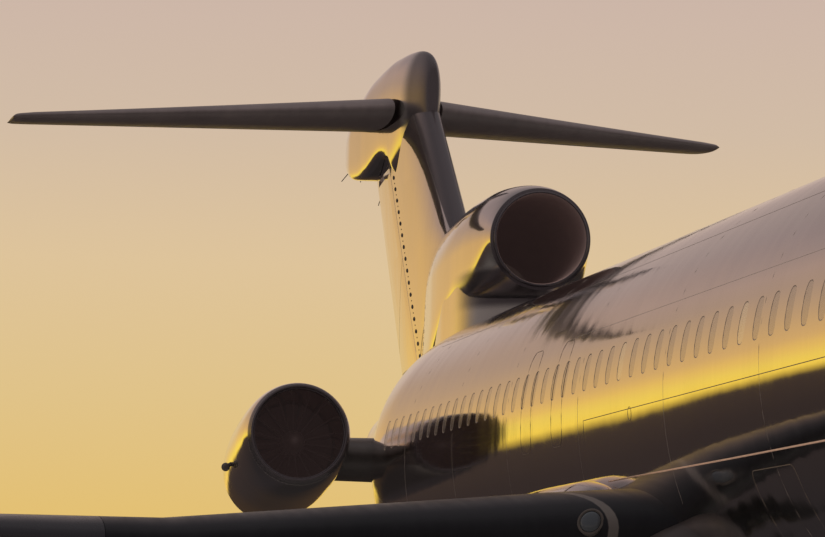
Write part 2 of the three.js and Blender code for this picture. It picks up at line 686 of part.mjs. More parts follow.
// Side engines: each pod's nose points up and outboard
const pod = { station: 31380, y: 2867, z: 4170, bore: 546, noseUp: 3, noseOut: 4 };
const podStart = at(pod.station, pod.y, pod.z);
const podSides = 24;
const engineFrom = 1750;
const engineFace = engineFrom + seam;
const engineTo = 4500;
const engineRadius = 540;
const cowl = turned(podStart, [
  [0, 566], [40, 592], [160, 622], [600, 664], [1500, 692], [3000, 700], [4200, 676], [4900, 646],
  [4900, 590], [engineTo, engineRadius + seam], [engineFrom, engineRadius + seam],
  [engineFrom, 528], [900, 528], [60, pod.bore], [0, 566],
], podSides);
const nozzle = turned(podStart, [
  [4900 + seam, 644], [5300, 612], [6100, 520], [6090, 500],
  [5300, 560], [4900 + seam, 590], [4900 + seam, 644],
], podSides);
const shaftRadius = 90;
const shaftSides = 12;
const shaftSeat = boreFor(shaftRadius, podSides);
const engineBlock = turned(podStart, [
  [engineFace, shaftSeat], [engineFace, engineRadius], [engineTo, engineRadius], [engineTo + 350, 330],
  [engineTo + 900, 0], [engineFrom + 300, 0], [engineFrom + 300, shaftSeat], [engineFace, shaftSeat],
], podSides);
const fan = { from: 1350, to: 1600, radius: 508, blades: 16 };
function fanRotor(start) {
  const hub = turned(start, [
    [fan.from - 30, 0], [fan.from - 30, 150], [fan.to + 40, 190], [fan.to + 40, shaftRadius],
    [engineFrom + 240, shaftRadius], [engineFrom + 240, 0],
  ], shaftSides);
  const blades = [];
  for (let i = 0; i < fan.blades; i++) {
    const blade = new THREE.BoxGeometry(210, 22, fan.radius - 120);
    blade.rotateZ(THREE.MathUtils.degToRad(38));
    blade.translate(0, 0, 120 + (fan.radius - 120) / 2);
    blade.rotateX(2 * Math.PI * i / fan.blades);
    blade.translate(start.x - (fan.from + fan.to) / 2, start.y, start.z);
    blades.push(solidOf(blade));
  }
  return join(hub, ...blades);
}
// Fixed vanes ahead of the fan, round a small nose cone
const vaneCount = 19;
function inletVanes(start) {
  const cone = turned(start, [
    [800, 0], [830, 60], [930, 115], [1080, 142], [fan.from - 60, 148], [fan.from - 60, 0],
  ], shaftSides);
  const vanes = [];
  const vaneTip = 523;
  for (let i = 0; i < vaneCount; i++) {
    const vane = new THREE.BoxGeometry(150, 14, vaneTip - 120);
    vane.translate(0, 0, (120 + vaneTip) / 2);
    vane.rotateX(2 * Math.PI * i / vaneCount);
    vane.translate(start.x - 1170, start.y, start.z);
    vanes.push(solidOf(vane));
  }
  return join(cone, ...vanes);
}
const aimed = solid => turnedAbout(solid, podStart, [-pod.noseUp, pod.noseOut]);
addPair('cowl', aimed(cowl), skinColour);
addPair('nozzle', aimed(nozzle), bareMetal);
addPair('engine', aimed(engineBlock), engineMetal);
addPair('fan', aimed(fanRotor(podStart)), engineMetal);
addPair('inlet_vanes', aimed(inletVanes(podStart)), engineMetal);

// Pylons: thick stubs between the body and the side engines
// y, leading edge station, chord, thickness share
const pylonZ = 3980;
const pylonRows = [
  { y: 700, lead: 32250, chord: 4300, thick: 0.13 },
  { y: pod.y, lead: 32550, chord: 3900, thick: 0.13 },
];
const pylonPoint = (row, along, across) => at(row.lead + along, row.y, pylonZ + across);
const cowlGrown = turned(podStart, [
  [0, 0], [0, 566 + seam], [40, 592 + seam], [160, 622 + seam], [600, 664 + seam],
  [1500, 692 + seam], [3000, 700 + seam], [4200, 676 + seam], [4900 + seam, 646 + seam],
  [5300, 613 + seam], [6100, 521 + seam], [6100, 0],
], podSides);
addPair('pylon', cut(flying(pylonRows, pylonPoint), aimed(cowlGrown), shellGrown), wingPaint);

// Engine and nozzle in the tail
const tailLength = tailEngine.to - tailEngine.from;
addMesh('engine_centre', turned(tailStart, [
  [0, 0], [0, tailEngine.radius], [tailLength, tailEngine.radius],
  [tailLength + 300, 330], [tailLength + 900, 0],
], engineSides), engineMetal);
const tailNozzle = turned(at(40300, 0, tailEngine.z), [
  [seam, 648], [500, 610], [1210, 520], [1200, 500], [500, 548], [seam, 590], [seam, 648],
], engineSides);
addMesh('nozzle_centre', tailNozzle, bareMetal);

// Landing gear
const wheelSides = 18;
// The tread's flats, and not its corners, are at the tyre's radius
function tyre(centre, treadRadius, halfWidth, rim) {
  const radius = treadRadius / Math.cos(Math.PI / wheelSides);
  return turnedAcross(centre, [
    [-halfWidth * 0.72, rim], [-halfWidth, rim + (radius - rim) * 0.45], [-halfWidth * 0.86, radius * 0.955],
    [-halfWidth * 0.5, radius], [halfWidth * 0.5, radius], [halfWidth * 0.86, radius * 0.955],
    [halfWidth, rim + (radius - rim) * 0.45], [halfWidth * 0.72, rim], [-halfWidth * 0.72, rim],
  ], wheelSides);
}
// Both wheels of a pair and the axle between them, one turned piece
function wheelPair(centre, halfTrack, halfWidth, rim, axleRadius) {
  const face = halfTrack + halfWidth * 0.62;
  const well = halfTrack - halfWidth * 0.62;
  const side = [
    [well, axleRadius], [well, rim - seam], [face, rim - seam],
    [face - 50, rim * 0.6], [face + 20, rim * 0.3], [face + 20, 0],
  ];
  const other = side.map(([across, radius]) => [-across, radius]).reverse();
  return turnedAcross(centre, [...other, ...side], wheelSides);
}
// A barrel round an axle, with room to turn
function axleBarrel(centre, halfLength, radius, axleRadius) {
  const bore = boreFor(axleRadius, wheelSides);
  return turnedAcross(centre, [
    [-halfLength, bore], [-halfLength, radius], [halfLength, radius], [halfLength, bore], [-halfLength, bore],
  ], wheelSides);
}
const axleHole = (centre, halfLength, axleRadius) => {
  const bore = boreFor(axleRadius, wheelSides);
  const profile = [[-halfLength, 0], [-halfLength, bore], [halfLength, bore], [halfLength, 0]];
  return turnedAcross(centre, profile, wheelSides);
};

// Nose gear: a fixed upper leg, and a lower one that steers
const noseAxle = at(noseGear.station, 0, noseGear.wheelRadius);
const noseAxleRadius = 45;
const noseRim = 205;
for (const [name, side] of [['left', 1], ['right', -1]]) {
  const centre = noseAxle.clone().setY(side * noseGear.halfTrack);
  addMesh(`nose_tyre_${name}`, tyre(centre, noseGear.wheelRadius, noseGear.tyreHalfWidth, noseRim), rubber);
}
const noseWheels = wheelPair(noseAxle, noseGear.halfTrack, noseGear.tyreHalfWidth, noseRim, noseAxleRadius);
addMesh('nose_wheels', noseWheels, legPaint);
const noseLegAt = z => at(noseGear.station, 0, z);
const steeringTop = 1480;
const pistonRadius = 62;
addMesh('nose_piston', cut(
  join(
    bar(noseLegAt(noseGear.wheelRadius), noseLegAt(steeringTop), pistonRadius),
    bar(noseLegAt(1160), noseLegAt(1280), 120),
    axleBarrel(noseAxle, 75, 78, noseAxleRadius),
    block(noseGear.station - 150, noseGear.station, -55, 55, 480, 560),
  ),
  axleHole(noseAxle, 200, noseAxleRadius),
), bareMetal);
addMesh('nose_leg', cut(
  join(
    bar(noseLegAt(1290), noseLegAt(bay.roof - seam), 100),
    bar(at(noseGear.station, -390, 2250), at(noseGear.station, 390, 2250), 60),
    bar(at(noseGear.station, 0, 1650), at(bay.from + 60, 0, 2380), 40),
  ),
  bore(noseLegAt(1200), noseLegAt(steeringTop + 10), pistonRadius),
), legPaint);
const doorThick = 24;
const doorOutline = [[3720, 1160], [5480, 1160], [5480, 1760], [3720, 1760]];
const doorFace = bay.halfWidth - seam;
addPair('nose_gear_door', sidePlate(doorOutline, doorFace - doorThick, doorFace), skinColour);

// Main gear
const mainGear = {
  station: 23880, y: 2860, wheelRadius: 622.5, halfTrack: 432, tyreHalfWidth: 215, rim: 265, axle: 70,
};
const mainAxle = at(mainGear.station, mainGear.y, mainGear.wheelRadius);
const legTop = 2180;
const mainLegAt = z => at(mainGear.station, mainGear.y, z);
const wingAbove = flying(wingRows, wingPoint).translate([0, 0, -seam]);
const mainLeg = cut(
  join(
    bar(mainLegAt(mainGear.wheelRadius), mainLegAt(1180), 85),
    bar(mainLegAt(1060), mainLegAt(legTop), 135),
    bar(mainLegAt(1500).add(new THREE.Vector3(0, -60, 0)), at(mainGear.station, 2010, 1900), 55),
    axleBarrel(mainAxle, 200, 115, mainGear.axle),
    block(mainGear.station - 260, mainGear.station - 60, mainGear.y - 45, mainGear.y + 45, 640, 720),
  ),
  axleHole(mainAxle, 600, mainGear.axle), wingAbove, bellyGrown, shellGrown,
);
addPair('main_leg', mainLeg, legPaint);
const mainSide = [['outer', 1], ['inner', -1]];
for (const [name, side] of mainSide) {
  const centre = mainAxle.clone().add(new THREE.Vector3(0, side * mainGear.halfTrack, 0));
  const mainTyre = tyre(centre, mainGear.wheelRadius, mainGear.tyreHalfWidth, mainGear.rim);
  addPair(`main_tyre_${name}`, mainTyre, rubber);
}
const mainWheels = wheelPair(mainAxle, mainGear.halfTrack, mainGear.tyreHalfWidth, mainGear.rim, mainGear.axle);
addPair('main_wheels', mainWheels, legPaint);

export default model;
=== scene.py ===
# Half-size model of a stretched T-tail airliner with three rear engines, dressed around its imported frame.
# Stations, widths and heights are the full-size aircraft's, in millimetres; at() turns them into metres.
import math

import bmesh
import bpy
from mathutils import Matrix, Vector


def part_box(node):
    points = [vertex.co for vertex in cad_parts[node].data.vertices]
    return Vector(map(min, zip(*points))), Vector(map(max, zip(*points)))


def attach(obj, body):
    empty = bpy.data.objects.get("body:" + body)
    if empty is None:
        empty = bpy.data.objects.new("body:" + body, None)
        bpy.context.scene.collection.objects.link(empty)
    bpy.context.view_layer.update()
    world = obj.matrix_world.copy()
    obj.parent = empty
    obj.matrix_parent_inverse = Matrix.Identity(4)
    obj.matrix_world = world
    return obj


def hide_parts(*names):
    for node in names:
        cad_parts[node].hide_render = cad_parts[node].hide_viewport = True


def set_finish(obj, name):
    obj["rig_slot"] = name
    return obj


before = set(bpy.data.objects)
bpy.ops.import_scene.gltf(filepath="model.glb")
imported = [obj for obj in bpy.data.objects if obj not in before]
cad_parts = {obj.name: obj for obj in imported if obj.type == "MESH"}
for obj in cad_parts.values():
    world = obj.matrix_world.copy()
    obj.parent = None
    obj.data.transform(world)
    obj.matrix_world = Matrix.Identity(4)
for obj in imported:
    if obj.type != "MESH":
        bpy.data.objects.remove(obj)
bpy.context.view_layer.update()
bpy.context.scene.view_settings.view_transform = "Standard"

modelScale = 0.0005          # metres here for a full-size millimetre
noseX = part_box("radome")[1].x
mirrorY = Matrix.Scale(-1, 4, (0, 1, 0))
straightUp = Vector((0, 0, 1))
aftWay = Vector((-1, 0, 0))
running = 12                 # gap round a moving surface


def at(station, y, z):
    return Vector((noseX - station * modelScale, y * modelScale, z * modelScale))


# Camera and light
cameraView = {"location": (22.195, -5.139, 0.608), "yaw": 9.467, "pitch": 5.369, "roll": 1.391,
              "lens": 191.74}


def aimCamera(view):
    yaw, pitch, roll = (math.radians(view[turn]) for turn in ("yaw", "pitch", "roll"))
    ahead = Vector((-math.cos(yaw) * math.cos(pitch), math.sin(yaw) * math.cos(pitch), math.sin(pitch)))
    level = Vector((math.sin(yaw), math.cos(yaw), 0))
    upright = level.cross(ahead)
    right = math.cos(roll) * level + math.sin(roll) * upright
    up = math.cos(roll) * upright - math.sin(roll) * level
    lens = bpy.data.cameras.new("camera")
    lens.lens = view["lens"]
    lens.clip_start = 0.1
    lens.clip_end = 3000
    camera = bpy.data.objects.new("camera", lens)
    bpy.context.scene.collection.objects.link(camera)
    turn = Matrix((right, up, -ahead)).transposed().to_4x4()
    camera.matrix_world = Matrix.Translation(view["location"]) @ turn
    bpy.context.scene.camera = camera


aimCamera(cameraView)
print("camera set")


# Shader maths: a Wire is a node's socket, and Python's operators join Wires by Math nodes
class Wire:
    def __init__(self, recipe, socket):
        self.recipe = recipe
        self.socket = socket

    def maths(self, operation, *values):
        return self.recipe.add("ShaderNodeMath", dict(enumerate(values)), operation=operation)

    def __add__(self, other):
        return self.maths("ADD", self, other)

    def __mul__(self, other):
        return self.maths("MULTIPLY", self, other)

    def __sub__(self, other):
        return self.maths("SUBTRACT", self, other)

    def __rsub__(self, other):
        return self.maths("SUBTRACT", other, self)

    def __truediv__(self, other):
        return self.maths("DIVIDE", self, other)

    __radd__ = __add__
    __rmul__ = __mul__

    def bigger(self, other):
        return self.maths("MAXIMUM", self, other)

    def smaller(self, other):
        return self.maths("MINIMUM", self, other)

    def size(self):
        return self.maths("ABSOLUTE", self)

    def floor(self):
        return self.maths("FLOOR", self)

    def wave(self):
        return self.maths("SINE", self)

    def rise(self, low, high):
        # 0 below low, 1 above high and smooth between
        inputs = {"Value": self, "From Min": low, "From Max": high}
        return self.recipe.add("ShaderNodeMapRange", inputs, interpolation_type="SMOOTHSTEP")


class Recipe:
    def __init__(self, tree):
        self.tree = tree
        tree.nodes.clear()

    def add(self, kind, inputs=None, output=0, stops=None, **settings):
        node = self.tree.nodes.new(kind)
        for name, value in settings.items():
            setattr(node, name, value)
        if stops:
            points = node.color_ramp.elements
            while len(points) < len(stops):
                points.new(0.5)
            for point, (place, colour) in zip(points, stops):
                point.position = place
                point.color = (*colour, 1)
        for name, value in (inputs or {}).items():
            if isinstance(value, Wire):
                self.tree.links.new(value.socket, node.inputs[name])
            else:
                node.inputs[name].default_value = value
        return Wire(self, node.outputs[output]) if len(node.outputs) else None

    def place(self, scale=(1, 1, 1)):
        where = self.add("ShaderNodeTexCoord", output="Object")
        return self.add("ShaderNodeMapping", {"Vector": where, "Scale": scale})

    def xyz(self, vector):
        return [self.add("ShaderNodeSeparateXYZ", {0: vector}, output=part) for part in range(3)]

    def noise(self, scale, size=1, detail=3, roughness=0.5):
        inputs = {"Vector": self.place(scale), "Scale": size, "Detail": detail, "Roughness": roughness}
        return self.add("ShaderNodeTexNoise", inputs)

    def mix(self, share, first, second):
        inputs = {"Factor": share, 6: colourOf(first), 7: colourOf(second)}
        return self.add("ShaderNodeMix", inputs, output=2, data_type="RGBA")

    def bump(self, height, distance):
        return self.add("ShaderNodeBump", {"Height": height, "Distance": distance, "Strength": 1.0})

    def finish(self, **sockets):
        names = {"colour": "Base Color", "metal": "Metallic", "rough": "Roughness", "normal": "Normal",
                 "coat": "Coat Weight", "glow": "Emission Color", "glowPower": "Emission Strength",
                 "specular": "Specular IOR Level"}
        inputs = {names[name]: colourOf(value) for name, value in sockets.items()}
        shader = self.add("ShaderNodeBsdfPrincipled", inputs)
        self.add("ShaderNodeOutputMaterial", {"Surface": shader})


def colourOf(value):
    return (*value, 1) if isinstance(value, tuple) and len(value) == 3 else value


def shaded(colour, share):
    return tuple(part * share for part in colour)


def material(name, build, **choices):
    made = bpy.data.materials.new(name)
    made.use_nodes = True
    build(Recipe(made.node_tree), **choices)
    return made


# Sky seen by the polished skin, as colours at the sine of their elevation. Behind the tail it glows above
# the ground, with a ragged edge on the starboard side, and ahead of the nose it is dusk.
sky = {
    "starboard": [(-0.25, (0.026, 0.022, 0.023)), (-0.14, (0.034, 0.026, 0.025)),
                  (-0.06, (0.042, 0.030, 0.027)), (-0.0015, (0.06, 0.041, 0.032)),
                  (0.0015, (1.08, 0.74, 0.085)), (0.02, (1.02, 0.75, 0.12)),
                  (0.042, (0.90, 0.585, 0.15)), (0.064, (0.75, 0.475, 0.18)),
                  (0.118, (0.58, 0.385, 0.21)), (0.17, (0.45, 0.318, 0.235)),
                  (0.205, (0.435, 0.312, 0.257)), (0.258, (0.325, 0.253, 0.243)),
                  (0.45, (0.17, 0.145, 0.15)), (0.7, (0.085, 0.078, 0.088))],
    "port": [(-0.25, (0.02, 0.017, 0.017)), (-0.003, (0.06, 0.036, 0.02)), (0.003, (1.1, 0.7, 0.14)),
             (0.03, (0.775, 0.525, 0.157)), (0.065, (0.745, 0.545, 0.255)), (0.095, (0.73, 0.55, 0.33)),
             (0.126, (0.64, 0.50, 0.38)), (0.155, (0.61, 0.47, 0.395)), (0.20, (0.46, 0.355, 0.32)),
             (0.27, (0.34, 0.27, 0.255)), (0.45, (0.18, 0.155, 0.16)), (0.7, (0.085, 0.078, 0.088))],
    "ahead": [(-0.3, (0.24, 0.22, 0.205)), (-0.01, (0.20, 0.18, 0.165)), (0.01, (0.38, 0.335, 0.31)),
              (0.3, (0.26, 0.24, 0.245)), (0.8, (0.28, 0.265, 0.275))],
    "groundTop": 0.0125, "ragged": 0.013, "rising": 0.27,
}


def lightWorld():
    world = bpy.data.worlds.new("dusk")
    bpy.context.scene.world = world
    world.use_nodes = True
    recipe = Recipe(world.node_tree)
    way = recipe.add("ShaderNodeTexCoord", output="Generated")
    x, y, z = recipe.xyz(way)
    edge = recipe.add("ShaderNodeTexNoise", {"W": y * 150, "Scale": 1.0, "Detail": 9.0, "Roughness": 0.72},
                      noise_dimensions="1D")
    starboard = 1 - y.rise(-0.06, 0.06)
    rising = ((0 - y - 0.1) * sky["rising"]).bigger(0).smaller(0.018)
    lift = ((edge - 0.5) * sky["ragged"] + sky["groundTop"] + rising) * starboard

    def band(name, height):
        stops = [(0.5 + sine / 2, colour) for sine, colour in sky[name]]
        return recipe.add("ShaderNodeValToRGB", {0: height * 0.5 + 0.5}, stops=stops)
    behind = recipe.mix(starboard, band("port", z), band("starboard", z - lift))
    colour = recipe.mix(x.rise(-0.93, -0.42), behind, band("ahead", z))
    background = recipe.add("ShaderNodeBackground", {"Color": colour, "Strength": 1.0})
    recipe.add("ShaderNodeOutputWorld", {"Surface": background})


def floorFinish(recipe):
    recipe.finish(colour=(0.74, 0.71, 0.67), rough=0.7)


def lightStudio():
    bm = bmesh.new()
    bmesh.ops.create_grid(bm, x_segments=1, y_segments=1, size=700)
    mesh = bpy.data.meshes.new("floor")
    bm.to_mesh(mesh)
    bm.free()
    mesh.materials.append(material("floor", floorFinish))
    floor = bpy.data.objects.new("floor", mesh)
    bpy.context.scene.collection.objects.link(floor)
    floor.visible_glossy = False
    light = bpy.data.lights.new("overhead", "AREA")
    light.shape = "RECTANGLE"
    light.size, light.size_y = 34, 26
    light.energy = 4200
    light.color = (1.0, 0.93, 0.84)
    overhead = bpy.data.objects.new("overhead", light)
    overhead.location = (0, 0, 20)
    overhead.visible_glossy = False
    bpy.context.scene.collection.objects.link(overhead)


lightWorld()
lightStudio()
print("light set")


# The side engines' place: the middle of the port intake's front
pod = {"station": 31380, "y": 2867, "z": 4170, "noseUp": 3, "noseOut": 4, "around": 72}
podCentre = at(pod["station"], pod["y"], pod["z"])
podAim = (Matrix.Rotation(math.radians(pod["noseOut"]), 4, "Z")
          @ Matrix.Rotation(math.radians(-pod["noseUp"]), 4, "Y"))
podTurn = Matrix.Translation(podCentre) @ podAim @ Matrix.Translation(-podCentre)
podAft = podAim @ aftWay

# Finishes
skin = {"colour": (0.80, 0.735, 0.70), "shade": (0.70, 0.64, 0.61), "rough": 0.07, "wave": 0.0022,
        "bay": 0.254}
# Colour of the painted dark reflection and painted shade mixed into the polished skin by a mask
reflectionAndShadeColour = (0.085, 0.07, 0.077)


def polishedSkin(recipe, wave=skin["wave"], dark=None):
    x, y, z = recipe.xyz(recipe.place())
    cell = recipe.add("ShaderNodeCombineXYZ", {0: (x / skin["bay"]).floor(), 1: (z * 1.7).floor()})
    tone = recipe.add("ShaderNodeTexWhiteNoise", {"Vector": cell}, output="Value")
    cloud = recipe.noise((0.8, 0.8, 2.2), detail=5)
    streak = recipe.noise((26, 3, 2.2), detail=4)
    mottled = (cloud - 0.5) * 0.6 + (tone - 0.5) * 0.3 + (streak - 0.5) * 0.5 + 0.35
    skinColour = recipe.mix(mottled.bigger(0).smaller(1), skin["colour"], skin["shade"])
    dents = recipe.noise((1.5, 1.2, 0.9), detail=2)
    bays = (x * (2 * math.pi / skin["bay"])).wave() * 0.03
    ripple = recipe.noise((9, 1.6, 1.1), detail=3)
    roughness = (streak - 0.5) * 0.06 + (tone - 0.5) * 0.03 + skin["rough"]
    metal = 1.0
    # The mask paints the dark reflection of the dusk ahead, and shade under the centre duct, into the skin's
    # colour
    if dark:
        share = dark(x, y, z)
        skinColour = recipe.mix(share, skinColour, reflectionAndShadeColour)
        roughness = roughness + share * 0.16
        metal = 1 - share * 0.35
    height = dents + bays + ripple * 0.12
    recipe.finish(colour=skinColour, metal=metal, rough=roughness, normal=recipe.bump(height, wave))


def aftOf(station):
    # how far a point lies behind a station, in metres here
    return lambda x, y, z: noseX - station * modelScale - x


def aftOfPod(x, y, z):
    # how far a point lies behind the front of the nearer side engine, along that engine
    return (x - podCentre.x) * podAft.x + (y.size() - podCentre.y) * podAft.y + (z - podCentre.z) * podAft.z


def duskReflectionAhead(distance, low, high):
    # painted dark reflection of the dusk ahead where the distance is under low, bare above high; both
    # full-size
    return lambda x, y, z: 1 - distance(x, y, z).rise(low * modelScale, high * modelScale)


# Slats: dark metal whose darkness is a painted dark reflection of the dusk ahead
def darkEdge(recipe):
    cloud = recipe.noise((2, 2, 2), detail=4)
    streak = recipe.noise((9, 9, 30), detail=3)
    colour = recipe.mix(cloud, (0.031, 0.029, 0.033), (0.048, 0.045, 0.052))
    recipe.finish(colour=colour, metal=0.7, rough=streak * 0.12 + 0.2, normal=recipe.bump(cloud, 0.002))


def finDuskReflection(x, y, z):
    # painted dark reflection of the dusk ahead along the fin's leading edge, wider towards its top
    aft = (noseX - x) / modelScale - 36600 - (z / modelScale - 7280) * 1.535
    return 1 - aft.rise(190, 230)


def ductReflectionAndShade(x, y, z):
    # painted dark reflection of the dusk ahead behind the intake's lip, and painted shade under it; the neck
    # below is darker towards its front
    station = (noseX - x) / modelScale
    height = z / modelScale
    low, fore = 1 - height.rise(6210, 6330), 1 - station.rise(32000, 33300)
    under = low * fore * (height.rise(5780, 5900) * 0.4 + 0.6)
    return (1 - station.rise(31170, 31200)).bigger(under)


# Grey paint darkened far below its real grey as painted shade on the backlit wings, tail and fairings; the
# grime is random
def shadedWingPaint(recipe, colour=(0.0075, 0.0072, 0.0088), rimY=None, specular=0.1):
    cloud = recipe.noise((1.1, 1.1, 3), detail=5)
    streak = recipe.noise((2.2, 22, 8), detail=4)
    grime = ((cloud - 0.5) * 1.2 + (streak - 0.5) * 0.9 + 0.4).bigger(0).smaller(1)
    tint = recipe.mix(grime, colour, shaded(colour, 1.7))
    if rimY:
        # a dull metal rim where the wing meets the body, along a line that slants out as it runs aft
        x, y, z = recipe.xyz(recipe.place())
        edge = (noseX - x) / modelScale * 0.2 + (rimY - 16700 * 0.2) - y.size() / modelScale
        tint = recipe.mix(edge.rise(-5, 5) - edge.rise(62, 72), tint, (0.09, 0.078, 0.075))
    waves = recipe.noise((3, 3, 3), detail=2)
    recipe.finish(colour=tint, rough=streak * 0.16 + 0.24, specular=specular,
                  normal=recipe.bump(waves, 0.0012))


def bareSteel(recipe, colour=(0.62, 0.61, 0.60), rough=0.3):
    grain = recipe.noise((6, 60, 60), detail=4)
    smear = recipe.noise((5, 5, 5), detail=4)
    tint = recipe.mix(smear, colour, shaded(colour, 0.72))
    recipe.finish(colour=tint, metal=1.0, rough=grain * 0.15 + rough, normal=recipe.bump(grain, 0.0004))


def exhaustSteel(recipe):
    smear = recipe.noise((1.6, 6, 6), detail=5)
    heat = recipe.add("ShaderNodeValToRGB", {0: smear}, stops=[
        (0.25, (0.20, 0.17, 0.15)), (0.5, (0.36, 0.31, 0.27)), (0.75, (0.46, 0.41, 0.36))])
    recipe.finish(colour=heat, metal=0.95, rough=smear * 0.2 + 0.28, normal=recipe.bump(smear, 0.001))


# A faint warm glow is painted light that lifts the dark inside of the engines
def engineMetal(recipe, colour=(0.13, 0.125, 0.125), glow=0.0):
    smear = recipe.noise((12, 12, 12), detail=4)
    tint = recipe.mix(smear, colour, shaded(colour, 1.7))
    recipe.finish(colour=tint, metal=0.3, rough=smear * 0.2 + 0.4, glow=(0.75, 0.5, 0.48), glowPower=glow)


# Pale brown lining of the intakes and of inside faces, with a faint glow that is painted light lifting their
# dark insides
def inletDark(recipe):
    smear = recipe.noise((5, 5, 5), detail=3)
    recipe.finish(colour=recipe.mix(smear, (0.26, 0.18, 0.17), (0.34, 0.24, 0.22)), rough=0.6,
                  glow=(0.75, 0.5, 0.48), glowPower=0.014)


def tintedGlass(recipe):
    smear = recipe.noise((7, 7, 7), detail=2)
    colour = (0.02, 0.024, 0.03)
    recipe.finish(colour=recipe.mix(smear, colour, shaded(colour, 1.6)), rough=0.06, coat=0.6)


def cabinPane(recipe, colour=(0.62, 0.56, 0.52)):
    smear = recipe.noise((7, 7, 7), detail=2)
    recipe.finish(colour=recipe.mix(smear, colour, shaded(colour, 0.86)), metal=0.85,
                  rough=smear * 0.08 + 0.1)


def darkSeam(recipe, colour=(0.045, 0.036, 0.032)):
    smear = recipe.noise((20, 20, 20), detail=3)
    recipe.finish(colour=recipe.mix(smear, colour, shaded(colour, 1.5)), rough=0.6)


def gearPaint(recipe):
    grime = recipe.noise((9, 9, 9), detail=5)
    colour = recipe.mix(grime.rise(0.45, 0.75), (0.62, 0.62, 0.60), (0.34, 0.32, 0.29))
    recipe.finish(colour=colour, metal=0.1, rough=grime * 0.25 + 0.3, normal=recipe.bump(grime, 0.0006))


def wornRubber(recipe):
    dust = recipe.noise((14, 14, 14), detail=5)
    colour = recipe.mix(dust.rise(0.4, 0.8), (0.022, 0.022, 0.024), (0.06, 0.056, 0.05))
    recipe.finish(colour=colour, rough=dust * 0.2 + 0.65, normal=recipe.bump(dust, 0.0008))


def lampGlass(recipe, colour):
    smear = recipe.noise((30, 30, 30), detail=2)
    recipe.finish(colour=recipe.mix(smear, colour, shaded(colour, 0.8)), metal=0.4, rough=0.08, coat=0.8)


finishes = {
    "skin": material("polishedSkin", polishedSkin),
    # Fin, duct and pod skins with a painted dark reflection of the dusk ahead, and painted shade under the
    # duct
    "finSkin": material("finSkin", polishedSkin, dark=finDuskReflection),
    "ductSkin": material("ductSkin", polishedSkin, wave=0.0012, dark=ductReflectionAndShade),
    "podSkin": material("podSkin", polishedSkin, wave=0.0012, dark=duskReflectionAhead(aftOfPod, 130, 165)),
    "edge": material("darkEdge", darkEdge),
    # Wings, tail, belly and pylons: grey paint darkened as painted shade
    "paint": material("shadedWingPaint", shadedWingPaint, rimY=2140),
    "tailPaint": material("tailPaint", shadedWingPaint, colour=(0.075, 0.059, 0.060), specular=0.35),
    "fairing": material("shadedRootFairing", shadedWingPaint, colour=(0.031, 0.025, 0.024), specular=0.22),
    # Bullet skin with a painted dark reflection of the dusk ahead on its front
    "bulletSkin": material("bulletSkin", polishedSkin, dark=duskReflectionAhead(aftOf(39150), 750, 1350)),
    "steel": material("bareSteel", bareSteel),
    "lip": material("intakeLip", bareSteel, colour=(0.09, 0.08, 0.083), rough=0.22),
    "exhaust": material("exhaustSteel", exhaustSteel),
    # Engines and fans glow faintly: painted light in their dark insides
    "engine": material("engineMetal", engineMetal, glow=0.014),
    "blade": material("bladeMetal", engineMetal, colour=(0.10, 0.072, 0.068), glow=0.017),
    "inlet": material("inletDark", inletDark),
    "glass": material("tintedGlass", tintedGlass),
    "pane": material("cabinPane", cabinPane),
    # Two cabin panes painted bright: painted light of the sky seen through the cabin
    "skyLitPane": material("skyThroughPane", cabinPane, colour=(0.92, 0.86, 0.74)),
    "recess": material("windowRecess", darkSeam, colour=(0.27, 0.21, 0.17)),
    "seam": material("darkSeam", darkSeam),
    "doorSeam": material("doorSeam", darkSeam, colour=(0.13, 0.095, 0.07)),
    "softSeam": material("softSeam", darkSeam, colour=(0.22, 0.18, 0.16)),
    # Copper bead of the low lap: a painted highlight of the low sun catching it
    "litSeam": material("litSeam", darkSeam, colour=(0.62, 0.40, 0.29)),
    "gear": material("gearPaint", gearPaint),
    "rubber": material("wornRubber", wornRubber),
    "red": material("redLamp", lampGlass, colour=(0.42, 0.02, 0.015)),
    "green": material("greenLamp", lampGlass, colour=(0.02, 0.32, 0.08)),
}
print("finishes made")


# Making meshes
def stow(name, bm, finish, body="airframe", slot="polished_skin", replaces=(), sharpAngle=34):
    mesh = bpy.data.meshes.new(name)
    bm.to_mesh(mesh)
    bm.free()
    piece = bpy.data.objects.new(name, mesh)
    bpy.context.scene.collection.objects.link(piece)
    for kind in finish if isinstance(finish, tuple) else (finish,):
        mesh.materials.append(finishes[kind])
    smoothUnder(piece, sharpAngle)
    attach(piece, body)
    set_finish(piece, slot)
    if replaces:
        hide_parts(*replaces)
    return piece


def smoothUnder(piece, sharpAngle):
    piece.data.shade_smooth()
    piece.data.set_sharp_from_angle(angle=math.radians(sharpAngle))


def smoothAt(rows, where):
    # a table read between its rows, along curves that pass through them and never overshoot
    places = [row[0] for row in rows]
    i = max(0, min(len(places) - 2, sum(place <= where for place in places) - 1))
    width = places[i + 1] - places[i]
    t = min(max((where - places[i]) / width, 0), 1)

    def steepness(j, column):
        steps = [(rows[n + 1][column] - rows[n][column]) / (places[n + 1] - places[n])
                 for n in (j - 1, j) if 0 <= n < len(places) - 1]
        if len(steps) == 1:
            return steps[0]
        product = steps[0] * steps[1]
        return 0 if product <= 0 else 2 * product / (steps[0] + steps[1])

    def column(c):
        return ((2 * t ** 3 - 3 * t ** 2 + 1) * rows[i][c] + (3 * t ** 2 - 2 * t ** 3) * rows[i + 1][c]
                + width * ((t ** 3 - 2 * t ** 2 + t) * steepness(i, c)
                           + (t ** 3 - t ** 2) * steepness(i + 1, c)))

    return [where] + [column(c) for c in range(1, len(rows[0]))]


